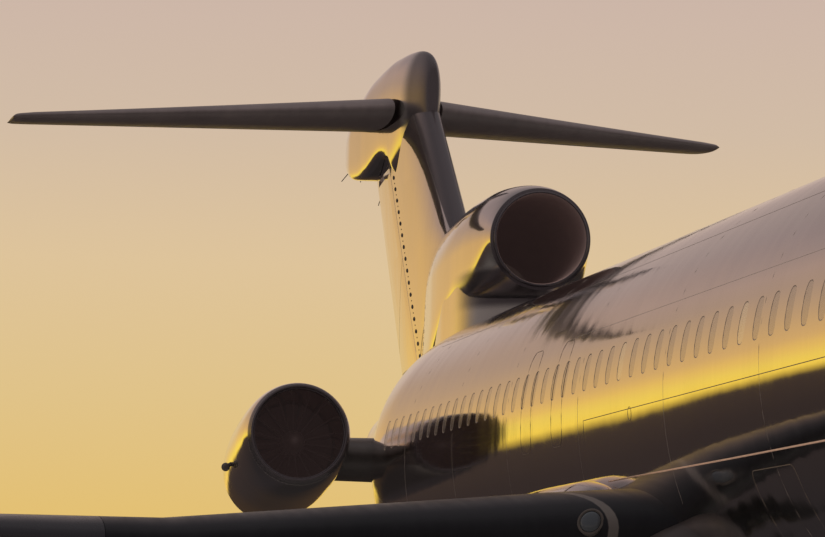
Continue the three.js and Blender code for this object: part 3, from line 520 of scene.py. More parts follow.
def straightAt(rows, where):
    # a table read along straight lines between its rows
    i = max(0, min(len(rows) - 2, sum(row[0] <= where for row in rows) - 1))
    share = (where - rows[i][0]) / (rows[i + 1][0] - rows[i][0])
    return [a + (b - a) * share for a, b in zip(rows[i], rows[i + 1])]


def ringEdges(bm, segments, place):
    # a circle of points, each moved to where place puts its angle
    points = bmesh.ops.create_circle(bm, segments=segments, radius=1)["verts"]
    for point in points:
        point.co = place(math.atan2(point.co.x, point.co.y))
    return list({edge for point in points for edge in point.link_edges})


def loft(bm, segments, rings):
    # a closed skin through rings; each ring is a function from an angle to a point. Gives each band's faces
    loops = [ringEdges(bm, segments, ring) for ring in rings]
    bands = [bmesh.ops.bridge_loops(bm, edges=before + after)["faces"]
             for before, after in zip(loops, loops[1:])]
    for loop in (loops[0], loops[-1]):
        bands.append(bmesh.ops.contextual_create(bm, geom=loop)["faces"])
    bmesh.ops.recalc_face_normals(bm, faces=[face for band in bands for face in band])
    return bands


def strip(bm, path, width, proud):
    # a thin closed bead along a path of (point, way out of the skin), with a flat diamond for its section
    def ring(i):
        point, out = path[i]
        ahead = path[min(i + 1, len(path) - 1)][0] - path[max(i - 1, 0)][0]
        across = ahead.cross(out).normalized() * width * modelScale / 2
        rise = out * proud * modelScale
        return lambda angle: point + across * math.sin(angle) + rise * math.cos(angle)
    loft(bm, 4, [ring(i) for i in range(len(path))])


def spun(bm, profile, centre, axis, out, steps=48):
    # a profile of (distance along axis, radius) turned round it; out is the way that the profile lies
    points = [bm.verts.new(centre + axis * along + out * radius) for along, radius in profile]
    chain = [bm.edges.new(pair) for pair in zip(points, points[1:])]
    bmesh.ops.spin(bm, geom=points + chain, cent=centre, axis=axis, dvec=(0, 0, 0), angle=2 * math.pi,
                   steps=steps, use_merge=True)
    bmesh.ops.remove_doubles(bm, verts=bm.verts, dist=1e-5)
    bmesh.ops.recalc_face_normals(bm, faces=bm.faces)


def block(bm, place):
    # a six-sided block; place takes whether a corner is far along X, Y and Z, and gives its point
    for corner in bmesh.ops.create_cube(bm, size=2)["verts"]:
        corner.co = place(corner.co.x > 0, corner.co.y > 0, corner.co.z > 0)


def plate(bm, corners, push):
    # a flat outline pushed along a vector
    face = bm.faces.new([bm.verts.new(corner) for corner in corners])
    pushed = bmesh.ops.extrude_face_region(bm, geom=[face])["geom"]
    bmesh.ops.translate(bm, vec=push, verts=[part for part in pushed if isinstance(part, bmesh.types.BMVert)])


def tube(bm, start, end, radius, endRadius=None, segments=20):
    # a round bar between two points, closed at both ends
    way = end - start
    turn = way.to_track_quat("Z", "Y").to_matrix().to_4x4()
    place = Matrix.Translation((start + end) / 2) @ turn
    bmesh.ops.create_cone(bm, cap_ends=True, segments=segments, radius1=radius,
                          radius2=radius if endRadius is None else endRadius, depth=way.length, matrix=place)


def cutter(bm, index=None):
    # a tool for carve(); index is the finish of the faces that it leaves, if they don't have their own
    bmesh.ops.recalc_face_normals(bm, faces=bm.faces)
    if index is not None:
        for face in bm.faces:
            face.material_index = index
    mesh = bpy.data.meshes.new("cutter")
    bm.to_mesh(mesh)
    bm.free()
    for kind in ("skin", "inlet", "recess", "pane", "skyLitPane"):
        mesh.materials.append(finishes[kind])
    tool = bpy.data.objects.new("cutter", mesh)
    bpy.context.scene.collection.objects.link(tool)
    return tool


def blockTool(place, index=None):
    bm = bmesh.new()
    block(bm, place)
    return cutter(bm, index)


def tubeTool(start, end, radius, segments, index):
    bm = bmesh.new()
    tube(bm, start, end, radius * modelScale, segments=segments)
    return cutter(bm, index)


def carve(piece, tools, operation="DIFFERENCE", sharpAngle=34):
    for tool in tools:
        cut = piece.modifiers.new("cut", "BOOLEAN")
        cut.operation = operation
        cut.solver = "EXACT"
        cut.object = tool
        graph = bpy.context.evaluated_depsgraph_get()
        mesh = bpy.data.meshes.new_from_object(piece.evaluated_get(graph))
        piece.modifiers.clear()
        piece.data = mesh
        bpy.data.objects.remove(tool)
    bm = bmesh.new()
    bm.from_mesh(piece.data)
    bmesh.ops.remove_doubles(bm, verts=bm.verts, dist=1e-5)
    bmesh.ops.dissolve_degenerate(bm, edges=bm.edges, dist=1e-6)
    bm.to_mesh(piece.data)
    bm.free()
    smoothUnder(piece, sharpAngle)
    return piece


def mirroredPiece(piece, name, replaces=(), body="airframe"):
    # the starboard copy of a port piece
    bm = bmesh.new()
    bm.from_mesh(piece.data)
    bmesh.ops.transform(bm, matrix=mirrorY, verts=bm.verts)
    bmesh.ops.reverse_faces(bm, faces=bm.faces)
    copy = stow(name, bm, "skin", body, piece["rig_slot"], replaces)
    copy.data.materials.clear()
    for finish in piece.data.materials:
        copy.data.materials.append(finish)
    return copy


def stowPair(name, bm, finish, body="airframe", slot="polished_skin", node=None):
    # a port piece and its starboard copy; {} stands for the side in the names of piece, body and node
    def named(pattern, side):
        return pattern.format(side)
    nodes = {side: (named(node, side),) if node else () for side in ("left", "right")}
    port = stow(named(name, "left"), bm, finish, named(body, "left"), slot, nodes["left"])
    mirroredPiece(port, named(name, "right"), nodes["right"], named(body, "right"))


def nodeMesh(name):
    # a merged copy of a node's mesh, to finish by hand
    bm = bmesh.new()
    bm.from_mesh(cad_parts[name].data)
    bmesh.ops.remove_doubles(bm, verts=bm.verts, dist=2e-5)
    bmesh.ops.dissolve_limit(bm, angle_limit=math.radians(0.4), verts=bm.verts, edges=bm.edges)
    return bm


def smoothNode(name, finish, body="airframe", slot="polished_skin", sharpAngle=34, bevel=0.0):
    # a node kept in its own shape, smoothed and with its hard edges softened
    piece = stow(f"{name}_skin", nodeMesh(name), finish, body, slot, (name,), sharpAngle)
    if bevel:
        soften(piece, bevel)
    return piece


def soften(piece, width, segments=2):
    edge = piece.modifiers.new("softEdge", "BEVEL")
    edge.width = width
    edge.segments = segments
    edge.limit_method = "ANGLE"
    edge.angle_limit = math.radians(40)
    edge.harden_normals = False


# Fuselage: station, half width, top, bottom, height of the widest point. The rows from 31000 to 35200 are
# up to 137 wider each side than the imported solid's
fuselageRows = [
    (0, 40, 3010, 2930, 2970), (60, 260, 3240, 2720, 2970), (220, 500, 3480, 2510, 2975),
    (560, 810, 3760, 2270, 2990), (1100, 1120, 4040, 2050, 3030), (1600, 1330, 4230, 1900, 3110),
    (2050, 1480, 4660, 1810, 3230), (2600, 1610, 5080, 1745, 3390), (3400, 1750, 5420, 1695, 3590),
    (4500, 1845, 5630, 1680, 3760), (5900, 1880, 5725, 1680, 3845), (13600, 1880, 5725, 1680, 3845),
    (17600, 1880, 5725, 1420, 3845), (29800, 1880, 5725, 1420, 3845), (31000, 1878, 5722, 1500, 3860),
    (32200, 1832, 5703, 1720, 3900), (33600, 1605, 5655, 2040, 3980), (35200, 1275, 5560, 2460, 4070),
    (37000, 985, 5420, 2930, 4190), (38800, 795, 5230, 3400, 4320), (40300, 670, 5090, 3790, 4440),
]
fuselage = {"around": 96, "radomeEnd": 1100, "seam": 6}
noseBay = {"front": 3650, "back": 5550, "half": 400, "roof": 2450, "under": 1000}
jackPad = {"station": 6400, "top": 1780, "face": 1660, "radius": 70}
# Centre engine's pipe: the bore in the tail, and the nozzle behind the tail's end
tailPipe = {"front": 36900, "end": 40300, "back": 40500, "z": 4440, "bore": 541}


def bodySection(rows, station):
    # half width, top, bottom and widest height; the front may be blunt, so the station's root reads it
    start = rows[0][0]
    table = [(math.sqrt(row[0] - start), *row[1:]) for row in rows]
    return smoothAt(table, math.sqrt(max(station - start, 0)))[1:]


def sectionPoint(section, station, angle, grow=0.0):
    halfWidth, top, bottom, wide = section
    tall = top - wide if math.cos(angle) > 0 else wide - bottom
    y = (halfWidth + grow) * math.sin(angle)
    return at(station, y, wide + (tall + grow) * math.cos(angle))


def bodyRing(rows, station, grow=0.0):
    section = bodySection(rows, station)
    return lambda angle: sectionPoint(section, station, angle, grow)


def skinPoint(station, side, z, grow=0.0):
    # the point of the fuselage's skin at a height, on the port side (1) or the starboard side (-1)
    section = bodySection(fuselageRows, station)
    halfWidth, top, bottom, wide = section
    tall = top - wide if z > wide else wide - bottom
    angle = math.acos(max(-1, min(1, (z - wide) / tall)))
    return sectionPoint(section, station, side * angle, grow)


def spread(low, high, count):
    return [low + (high - low) * i / count for i in range(count + 1)]


def blunt(low, high, count):
    # stations that lie closer together near low
    return [low + (high - low) * (i / count) ** 2 for i in range(count + 1)]


def bodyNormal(rows, point):
    # the way out of a body's skin at a point on it, and how far inside it the point lies, as a share
    station, y, z = (noseX - point.x) / modelScale, point.y / modelScale, point.z / modelScale

    def level(section):
        halfWidth, top, bottom, wide = section
        return (y / halfWidth) ** 2 + ((z - wide) / (top - wide if z > wide else wide - bottom)) ** 2
    halfWidth, top, bottom, wide = here = bodySection(rows, station)
    tall = top - wide if z > wide else wide - bottom
    step = 4
    ahead, behind = level(bodySection(rows, station - step)), level(bodySection(rows, station + step))
    out = Vector(((ahead - behind) / step / 2, 2 * y / halfWidth ** 2, 2 * (z - wide) / tall ** 2))
    return out.normalized(), 1 - level(here)


def trueNormals(piece, rows):
    # the skin's own normals, so that its reflections stay smooth across cut faces
    mesh = piece.data
    known = {}
    normals = []
    for face in mesh.polygons:
        middle, depth = bodyNormal(rows, face.center)
        onSkin = face.material_index == 0 and abs(depth) < 0.02 and middle.dot(face.normal) > 0.94
        for corner in face.vertices:
            if onSkin and corner not in known:
                known[corner] = bodyNormal(rows, mesh.vertices[corner].co)[0]
            normals.append(known[corner] if onSkin else Vector())
    mesh.normals_split_custom_set(normals)


noseStations = spread(fuselage["radomeEnd"] + fuselage["seam"] / 2, 5900, 34)
tailStations = spread(30200, 40300, 30)


def bodyPart(stations, grow=0.0):
    bm = bmesh.new()
    loft(bm, fuselage["around"], [bodyRing(fuselageRows, s, grow) for s in stations])
    return bm


def makeFuselage():
    stow("radome_shell", bodyPart(blunt(0, fuselage["radomeEnd"] - fuselage["seam"] / 2, 18)), "skin",
         replaces=("radome",))
    stations = noseStations + [9800, 13600] + spread(14600, 17600, 4) + [23600, 29800] + tailStations
    bm = bodyPart(stations)
    pad = [at(jackPad["station"], 0, jackPad[end]) for end in ("top", "face")]
    tube(bm, *pad, jackPad["radius"] * modelScale, segments=32)
    shell = stow("fuselage_shell", bm, ("skin", "inlet", "recess", "pane", "skyLitPane"),
                 replaces=("fuselage",))
    bay = blockTool(lambda x, y, z: at(noseBay["front"] if x else noseBay["back"],
                                       noseBay["half"] if y else -noseBay["half"],
                                       noseBay["roof"] if z else noseBay["under"]), 1)
    ends = [at(tailPipe[end], 0, tailPipe["z"]) for end in ("front", "back")]
    pipe = tubeTool(*ends, tailPipe["bore"], 64, 1)
    carve(shell, [bay, pipe, stairRoom(running, stair["aftGap"], stair["well"]), windshieldRoom(1),
                  windowTools()])
    trueNormals(shell, fuselageRows)


# Windshield: panes let into the skin on both sides of a middle post, two posts and a sill
windshield = {"outline": [(1300, 4205), (3480, 4330), (3480, 4760), (2280, 4930), (1300, 4930)],
              "half": 2000, "deep": 45, "post": 46, "frontPost": 740, "sidePost": 2760,
              "front": 1000, "back": 3000, "sideFront": 1300, "low": 4000, "high": 5500}


def windshieldRoom(gap):
    # the room of all panes in the skin, without their posts
    wide, front, low, high = (windshield[key] for key in ("half", "front", "low", "high"))
    bm = bmesh.new()
    plate(bm, [at(s, -wide, z) for s, z in windshield["outline"]], (0, 2 * wide * modelScale, 0))
    room = cutter(bm, 2)
    half = windshield["post"] / 2 - gap
    under = [cutter(bodyPart(noseStations, -windshield["deep"] - gap), 2)]

    def post(s0, s1, y0, y1):
        return blockTool(lambda x, y, z: at(s0 if x else s1, y1 if y else y0, high if z else low), 2)
    under.append(post(front, windshield["back"], -half, half))
    for side in (1, -1):
        inner = windshield["frontPost"]
        under.append(post(front, front + windshield["sideFront"], side * inner, side * (inner + 2 * half)))
        station = windshield["sidePost"]
        under.append(post(station, station + 2 * half, side * wide / 2, side * wide * 1.5))
    return carve(room, under)


def makeWindshield():
    glass = stow("windshield_glass", bodyPart(noseStations, -3), "glass", slot="cockpit_glass",
                 replaces=("windshield",))
    carve(glass, [windshieldRoom(0)], "INTERSECT")


# Cabin windows: shallow recesses with a dark wall round the pane; two panes are painted bright, as painted
# light of the sky seen through the cabin
cabin = {"station": 13280, "z": 4152, "pitch": 508, "fore": 14, "aft": 35, "halfWidth": 112,
         "halfHeight": 178, "deep": 3, "square": 3.2, "around": 20, "seeThrough": (0, 9)}


def windowTools():
    bm = bmesh.new()

    def ring(station, side, size, grow):
        def place(angle):
            across, up = math.sin(angle), math.cos(angle)
            power = cabin["square"]
            reach = size * (abs(across) ** power + abs(up) ** power) ** (-1 / power)
            return skinPoint(station + across * reach * cabin["halfWidth"], side,
                             cabin["z"] + up * reach * cabin["halfHeight"], grow)
        return place
    for number in range(-cabin["fore"], cabin["aft"] + 1):
        for side in (1, -1):
            station = cabin["station"] + number * cabin["pitch"]
            steps = [(1, 30)] + [(size, -cabin["deep"]) for size in (1, 0.95, 0.5, 0.1)]
            bands = loft(bm, cabin["around"], [ring(station, side, *step) for step in steps])
            pane = 4 if number in cabin["seeThrough"] else 3
            for band, index in zip(bands, (2, 2, pane, pane, 0, pane)):
                for face in band:
                    face.material_index = index
    return cutter(bm)


# Airstair under the tail: a panel of the skin that drops at its aft end, with steps on its back
stair = {"station": 33780, "z": 2230, "length": 3920, "halfWidth": 400, "well": 350, "slope": 14.8,
         "nose": 148, "aftGap": 40, "panel": 110, "inset": 138, "steps": 8, "first": 180, "openSlope": 30}
stairHinge = at(stair["station"], 0, stair["z"])


def stairPoint(along, y, up):
    # a point of the airstair: distance aft of its hinge along the panel, width and height over it
    slope = math.radians(stair["slope"])
    aft, over = Vector((-math.cos(slope), 0, math.sin(slope))), Vector((math.sin(slope), 0, math.cos(slope)))
    return stairHinge + (aft * along + Vector((0, y, 0)) + over * up) * modelScale


def stairRoom(gap, aftGap, tall):
    half = stair["halfWidth"] + gap
    room = blockTool(lambda x, y, z: stairPoint(0 if x else stair["length"] + aftGap, half if y else -half,
                                                tall if z else -400), 1)
    nose = tubeTool(stairPoint(0, -half, 0), stairPoint(0, half, 0), stair["nose"] + gap, 48, 1)
    return carve(room, [nose], "UNION")


def makeAirstair():
    panel = stow("airstair_panel", bodyPart(tailStations), ("skin", "inlet", "steel"), "airstair",
                 replaces=("airstair",))
    carve(panel, [stairRoom(0, 0, 900)], "INTERSECT")
    bm = bodyPart(tailStations)
    bmesh.ops.translate(bm, vec=(0, 0, stair["panel"] * modelScale), verts=bm.verts)
    carve(panel, [cutter(bm, 1)])
    trueNormals(panel, fuselageRows)
    pitch = (stair["length"] - 2 * stair["first"]) / stair["steps"]
    slope = math.radians(stair["openSlope"])
    tread = pitch * math.cos(slope)
    base, top = stair["panel"] - 10 - stair["inset"], stair["panel"] + 60 - stair["inset"]
    outline = [(stair["first"], base), (stair["first"], top)]
    for step in range(stair["steps"]):
        start = stair["first"] + step * pitch
        outline += [(start + tread * math.cos(slope), top + tread * math.sin(slope)), (start + pitch, top)]
    outline.append((stair["length"] - stair["first"], base))
    bm = bmesh.new()
    half = stair["halfWidth"] - 60
    plate(bm, [stairPoint(along, -half, up) for along, up in outline], (0, 2 * half * modelScale, 0))
    bmesh.ops.recalc_face_normals(bm, faces=bm.faces)
    for side in (1, -1):
        ends = [stairPoint(0, side * (stair["halfWidth"] + over), 0) for over in (-70, 36)]
        tube(bm, *ends, 32 * modelScale)
    stow("airstair_steps", bm, "gear", "airstair", "bare_steel")


makeFuselage()
makeWindshield()
makeAirstair()
print("fuselage made")


# Fairing of the wing root
bellyRows = [
    (15600, 1350, 2700, 1750, 2250), (16400, 1900, 2960, 1500, 2300), (17600, 2080, 3080, 1330, 2330),
    (19500, 2150, 3110, 1260, 2340), (23500, 2150, 3090, 1260, 2330), (25300, 2050, 2960, 1310, 2280),
    (26900, 1600, 2650, 1480, 2150),
]


def makeBelly():
    bm = bmesh.new()
    loft(bm, 72, [bodyRing(bellyRows, s) for s in spread(15600, 26900, 34)])
    stow("belly_shell", bm, "fairing", replaces=("belly_fairing",))


makeBelly()


# Flying surfaces
def halfThickness(share, thick):
    curve = (0.2969 * math.sqrt(share) - 0.126 * share - 0.3516 * share ** 2
             + 0.2843 * share ** 3 - 0.0985 * share ** 4)
    return 5 * thick * curve


def aerofoilRing(chord, thick, place):
    # the trailing edge is at angle 0
    def point(angle):
        share = 0.5 * (1 + math.cos(angle))
        side = 0 if abs(math.sin(angle)) < 1e-6 else math.copysign(1, math.sin(angle))
        return place(share * chord, side * halfThickness(share, thick) * chord)
    return point


# y, leading edge station, its height, chord, thickness share, incidence in degrees
wingRows = [
    (1300, 16180, 2620, 8530, 0.125, 3.0), (2400, 16980, 2600, 7750, 0.122, 3.0),
    (5700, 19380, 2450, 5900, 0.11, 2.5), (10500, 22860, 2610, 4320, 0.10, 1.5),
    (15900, 26790, 2870, 2550, 0.095, 0.5), (16300, 27150, 2900, 2250, 0.09, 0.5),
    (16460, 27480, 2915, 1800, 0.05, 0.5),
]
wing = {"tip": 16460, "around": 64}


def wingPlace(row):
    y, lead, z, chord, thick, degrees = row
    turn = math.radians(degrees)

    def place(along, across):
        station = lead + along * math.cos(turn) + across * math.sin(turn)
        return at(station, y, z - along * math.sin(turn) + across * math.cos(turn))
    return place


def wingPoint(y, share, up=0.0):
    row = straightAt(wingRows, y)
    return wingPlace(row)(share * row[3], up * halfThickness(share, row[4]) * row[3])


def roundedTip(low, high, count):
    # places from low to high that lie closer together near high, each with its share of thickness left
    turns = spread(0, math.pi / 2, count)[1:]
    return [(low + (high - low) * math.sin(turn), max(math.cos(turn), 0.12)) for turn in turns]


def wingRings():
    ys = [1300, 1900, 2400] + spread(2400, 5700, 5)[1:] + spread(5700, 10500, 6)[1:]
    ys += spread(10500, 15900, 7)[1:]
    rows = [straightAt(wingRows[:5], y) for y in ys]
    rows += [smoothAt(wingRows[4:], y) for y in spread(15900, 16300, 4)[1:]]
    for y, left in roundedTip(16300, wing["tip"], 6):
        row = smoothAt(wingRows[4:], y)
        row[4] = wingRows[5][4] * left * wingRows[5][3] / row[3]
        rows.append(row)
    return [aerofoilRing(row[3], row[4], wingPlace(row)) for row in rows]


def hingeTools(line, noses, reach, tall, gap, planes=()):
    # the room of a hinged surface: a block behind its hinge and a round nose, cut at planes (point, way out)
    start, end = line
    along = (end - start).normalized()
    aft = Vector((-1, 0, 0))
    aft = (aft - along * aft.dot(along)).normalized()
    across = along.cross(aft)
    first, last = start - along * gap * modelScale, end + along * gap * modelScale
    behind = bmesh.new()
    block(behind, lambda x, y, z: (last if x else first) + modelScale * (
        across * (tall if y else -tall) + aft * (reach if z else 0)))
    nose = bmesh.new()
    tube(nose, first, last, (noses[0] + gap) * modelScale, (noses[1] + gap) * modelScale, 48)
    for bm in (behind, nose):
        for point, outward in planes:
            geometry = bm.verts[:] + bm.edges[:] + bm.faces[:]
            cut = bmesh.ops.bisect_plane(bm, geom=geometry, plane_co=point, plane_no=outward,
                                         clear_outer=True)
            rim = [part for part in cut["geom_cut"] if isinstance(part, bmesh.types.BMEdge)]
            if rim:
                bmesh.ops.contextual_create(bm, geom=rim)
    return [cutter(behind), cutter(nose)]


# y of both ends, chord share of the hinge
aileronRows = {"inner_aileron": (6150, 7150, 0.77), "outer_aileron": (12500, 15500, 0.76)}
flapRows = {"inner_flap": (2500, 5950, 0.76), "outer_flap": (7420, 12250, 0.77)}
slat = {"inner": 6300, "outer": 15800, "share": 0.13}
spoiler = {"inner": 7600, "outer": 11900, "from": 0.64, "to": 0.755, "thick": 46, "endGap": 26}
wingJack = {"station": 22300, "y": 3300, "top": 2120, "face": 1990, "radius": 75}
trackRows = [(3900, 2500, 110, 300), (8300, 2100, 95, 260), (11200, 1800, 85, 220)]


def wingNose(y, share):
    row = straightAt(wingRows, y)
    return 1.1 * halfThickness(share, row[4]) * row[3]


def planTool(inner, outer, share, ahead, gap):
    # a prism that holds all of the wing behind (or, with ahead, in front of) a chord share
    step = 2500 if ahead else -3000
    edge = gap if ahead else -gap

    def corner(x, y, z):
        width = outer + gap if y else inner - gap
        point = wingPoint(outer if y else inner, share)
        point.x += modelScale * ((step if x == ahead else 0) - (edge if x != ahead else 0))
        return Vector((point.x, width * modelScale, (3600 if z else 1000) * modelScale))
    return blockTool(corner)


def spoilerTool(gap, endGap):
    def top(y, share):
        return wingPoint(y, share, 1) - straightUp * spoiler["thick"] * modelScale
    middle = (spoiler["inner"] + spoiler["outer"]) / 2
    first = top(spoiler["inner"], spoiler["from"])
    normal = (top(spoiler["outer"], spoiler["from"]) - first).cross(top(middle, spoiler["to"]) - first)

    def corner(x, y, z):
        span = spoiler["outer"] + endGap if y else spoiler["inner"] - endGap
        point = wingPoint(span, spoiler["from" if x else "to"])
        point.x += modelScale * (gap if x else -gap)
        level = first.z - ((point.x - first.x) * normal.x + (point.y - first.y) * normal.y) / normal.z
        return Vector((point.x, point.y, level + (400 * modelScale if z else 0)))
    return blockTool(corner)


def addFairing(bm, y, length, halfWidth, depth):
    tail = wingPoint(y, 1)
    end = (noseX - tail.x) / modelScale + 350
    z = tail.z / modelScale + 20
    rows = [
        (end - length, halfWidth * 0.3, z + 30, z - depth * 0.3, z),
        (end - length * 0.7, halfWidth, z + 40, z - depth * 0.95, z),
        (end - length * 0.35, halfWidth * 0.9, z + 40, z - depth * 0.9, z), (end, 12, z + 8, z - 12, z),
    ]
    part = bmesh.new()
    loft(part, 20, [bodyRing(rows, s) for s in spread(end - length, end, 14)])
    bmesh.ops.translate(part, vec=(0, y * modelScale, 0), verts=part.verts)
    mesh = bpy.data.meshes.new("fairing")
    part.to_mesh(mesh)
    part.free()
    bm.from_mesh(mesh)
    bpy.data.meshes.remove(mesh)


def wholeWing():
    bm = bmesh.new()
    loft(bm, wing["around"], wingRings())
    return bm


def aileronRooms():
    rooms = []
    for inner, outer, share in aileronRows.values():
        line = (wingPoint(inner, share), wingPoint(outer, share))
        rooms += hingeTools(line, (wingNose(inner, share), wingNose(outer, share)), 1700, 350, running)
    return rooms


def makeWing():
    main = stow("wing_left_shell", wholeWing(), "paint", replaces=("wing_left",))
    tools = aileronRooms() + [planTool(*row, False, 6) for row in flapRows.values()]
    tools += [planTool(slat["inner"], slat["outer"], slat["share"], True, 5),
              spoilerTool(running, spoiler["endGap"])]
    carve(main, tools)
    bm = bmesh.new()
    bm.from_mesh(main.data)
    for row in trackRows:
        addFairing(bm, *row)
    pad = [at(wingJack["station"], wingJack["y"], wingJack[end]) for end in ("top", "face")]
    tube(bm, *pad, wingJack["radius"] * modelScale, segments=32)
    bm.to_mesh(main.data)
    bm.free()
    smoothUnder(main, 34)
    mirroredPiece(main, "wing_right_shell", ("wing_right",))
    for name, row in flapRows.items():
        flap = stow(f"{name}_left_shell", wholeWing(), "paint", replaces=(f"{name}_left",))
        rooms = aileronRooms()
        carve(flap, [planTool(*row, False, 0)], "INTERSECT")
        carve(flap, rooms)
        mirroredPiece(flap, f"{name}_right_shell", (f"{name}_right",))
    edge = stow("slat_left_shell", wholeWing(), "edge", slot="leading_edge", replaces=("slat_left",))
    carve(edge, [planTool(slat["inner"], slat["outer"], slat["share"], True, 0)], "INTERSECT")
    mirroredPiece(edge, "slat_right_shell", ("slat_right",))
    for side in ("left", "right"):
        for name in ("inner_aileron", "outer_aileron", "spoiler"):
            smoothNode(f"{name}_{side}", "paint", f"{name}_{side}", sharpAngle=28)


makeWing()
print("wings made")


# Fin and rudders: height, leading edge station, chord, thickness share
def trailAt(z):
    return 41160 + 0.896 * (z - 5590)


finRows = [(z, lead, trailAt(z) - lead, thick) for z, lead, thick in (
    (5050, 35370, 0.105), (6200, 35950, 0.1), (7280, 36600, 0.092), (9250, 39230, 0.086),
    (9600, 39700, 0.084))]
rudder = {"top": 8570, "split": 7130, "bottom": 5600, "lift": 90}


def rudderHinge(z):
    return at(38760 + 1.062 * (z - 5690), 0, z)


def finRing(z):
    lead, chord, thick = straightAt(finRows, z)[1:]
    return aerofoilRing(chord, thick, lambda along, across: at(lead + along, across, z))


def finHalf(z):
    lead, chord, thick = straightAt(finRows, z)[1:]
    share = ((noseX - rudderHinge(z).x) / modelScale - lead) / chord
    return 1.08 * halfThickness(share, thick) * chord


def makeFin():
    bm = bmesh.new()
    loft(bm, 72, [finRing(z) for z in spread(5112, 9400, 30)])
    fin = stow("fin_shell", bm, "finSkin", replaces=("fin",))
    tools = []
    for low, high, floor, roof in (
            (rudder["bottom"] - 400, rudder["split"], rudder["bottom"], 12000),
            (rudder["split"] + running, rudder["top"] + 900, 0, rudder["top"])):
        planes = [(at(0, 0, roof + rudder["lift"]), straightUp),
                  (at(0, 0, floor - rudder["lift"]), -straightUp)]
        tools += hingeTools((rudderHinge(low), rudderHinge(high)), (finHalf(low), finHalf(high)), 4000, 600,
                            running, planes)
    carve(fin, tools)
    for name in ("upper_rudder", "lower_rudder"):
        smoothNode(name, "skin", name, sharpAngle=28)


makeFin()

# Fairing over the tailplane joint
bulletRows = [
    (39150, 40, 9760, 8900, 9500), (39330, 128, 9950, 8700, 9480), (39750, 195, 10090, 8450, 9480),
    (40300, 262, 10180, 8350, 9490), (41000, 308, 10235, 8420, 9495), (41450, 318, 10255, 8740, 9495),
    (42000, 330, 10275, 8820, 9490), (43400, 330, 10240, 8690, 9480), (44900, 285, 10060, 8810, 9470),
    (45900, 205, 9850, 9030, 9460), (46480, 105, 9660, 9260, 9450), (46690, 22, 9500, 9400, 9450),
]
bullet = {"around": 64, "square": 7, "from": 40300, "to": 41600}


def squareRing(rows, station, power):
    # a section whose lower half is squarer than an ellipse
    halfWidth, top, bottom, wide = bodySection(rows, station)

    def place(angle):
        across, up = math.sin(angle), math.cos(angle)
        if up > 0:
            return at(station, halfWidth * across, wide + (top - wide) * up)
        low = [math.copysign(abs(part) ** (2 / power), part) for part in (across, up)]
        return at(station, halfWidth * low[0], wide + (wide - bottom) * low[1])
    return place


def powerAt(shape, station):
    share = min(max((station - shape["from"]) / (shape["to"] - shape["from"]), 0), 1)
    return 2 + (shape["square"] - 2) * share ** 1.5


def makeBullet():
    bm = bmesh.new()
    loft(bm, bullet["around"], [squareRing(bulletRows, s, powerAt(bullet, s))
                              for s in blunt(39150, 42000, 24) + spread(42300, 46690, 22)])
    stow("bullet_shell", bm, "bulletSkin", replaces=("bullet_fairing",))


makeBullet()

# Tailplane, parked with its trailing edge a little up: y, leading edge station, chord, thickness share
tailRows = [(345, 40370, 4150, 0.1), (5150, 44330, 1850, 0.075), (5350, 44510, 1700, 0.065),
            (5450, 44700, 1400, 0.035)]
tail = {"z": 9470, "elevatorInner": 420, "elevatorOuter": 5000, "share": 0.715, "shaft": 42900, "trim": 2.5}


def turnedAt(point, turn):
    return Matrix.Translation(point) @ turn @ Matrix.Translation(-point)


def tailPoint(y, share):
    lead, chord = straightAt(tailRows, y)[1:3]
    return at(lead + share * chord, y, tail["z"])


def tailHalf(y):
    chord, thick = straightAt(tailRows, y)[2:]
    return 1.12 * halfThickness(tail["share"], thick) * chord


def makeTailplane():
    rows = [straightAt(tailRows, y) for y in spread(345, 5150, 14) + spread(5150, 5350, 4)[1:]]
    for y, left in roundedTip(5350, 5450, 5):
        row = smoothAt(tailRows[1:], y)
        row[3] = tailRows[2][3] * tailRows[2][2] * left / row[2]
        rows.append(row)

    def ring(row):
        y, lead, chord, thick = row
        return aerofoilRing(chord, thick, lambda along, across: at(lead + along, y, tail["z"] + across))
    bm = bmesh.new()
    loft(bm, 64, [ring(row) for row in rows])
    left = stow("tailplane_left_shell", bm, "tailPaint", "tailplane", replaces=("tailplane_left",))
    line = (tailPoint(345, tail["share"]), tailPoint(tail["elevatorOuter"], tail["share"]))
    room = hingeTools(line, (tailHalf(345), tailHalf(tail["elevatorOuter"])), 1600, 300, running,
                      [(at(0, tail["elevatorInner"] - running - 60, 0), Vector((0, -1, 0)))])
    carve(left, room)
    trim = Matrix.Rotation(math.radians(tail["trim"]), 4, "Y")
    left.data.transform(turnedAt(at(tail["shaft"], 0, tail["z"]), trim))
    mirroredPiece(left, "tailplane_right_shell", ("tailplane_right",), "tailplane")
    for side in ("left", "right"):
        smoothNode(f"elevator_{side}", "tailPaint", f"elevator_{side}", sharpAngle=28)
    smoothNode("tailplane_shaft", "steel", "tailplane", "bare_steel")


makeTailplane()
print("tail made")

# Centre intake and its duct
ductRows = [
    (31100, 590, 7203, 6023, 6613), (31180, 622, 7238, 5988, 6613), (31500, 668, 7300, 5930, 6600),
    (32000, 705, 7355, 5920, 6590), (32600, 722, 7388, 5930, 6575), (33300, 716, 7389, 5900, 6555),
    (33900, 694, 7382, 5790, 6540), (35300, 604, 7335, 5400, 6480), (36600, 470, 7275, 5150, 6400),
    (37300, 380, 6600, 5100, 5900),
    (37900, 290, 5700, 5080, 5400), (38150, 240, 5330, 5070, 5200),
]
duct = {"station": 31100, "z": 6613, "bore": 548, "lip": 590, "deep": 3300, "around": 96,
        "from": 31250, "to": 32350, "square": 7}
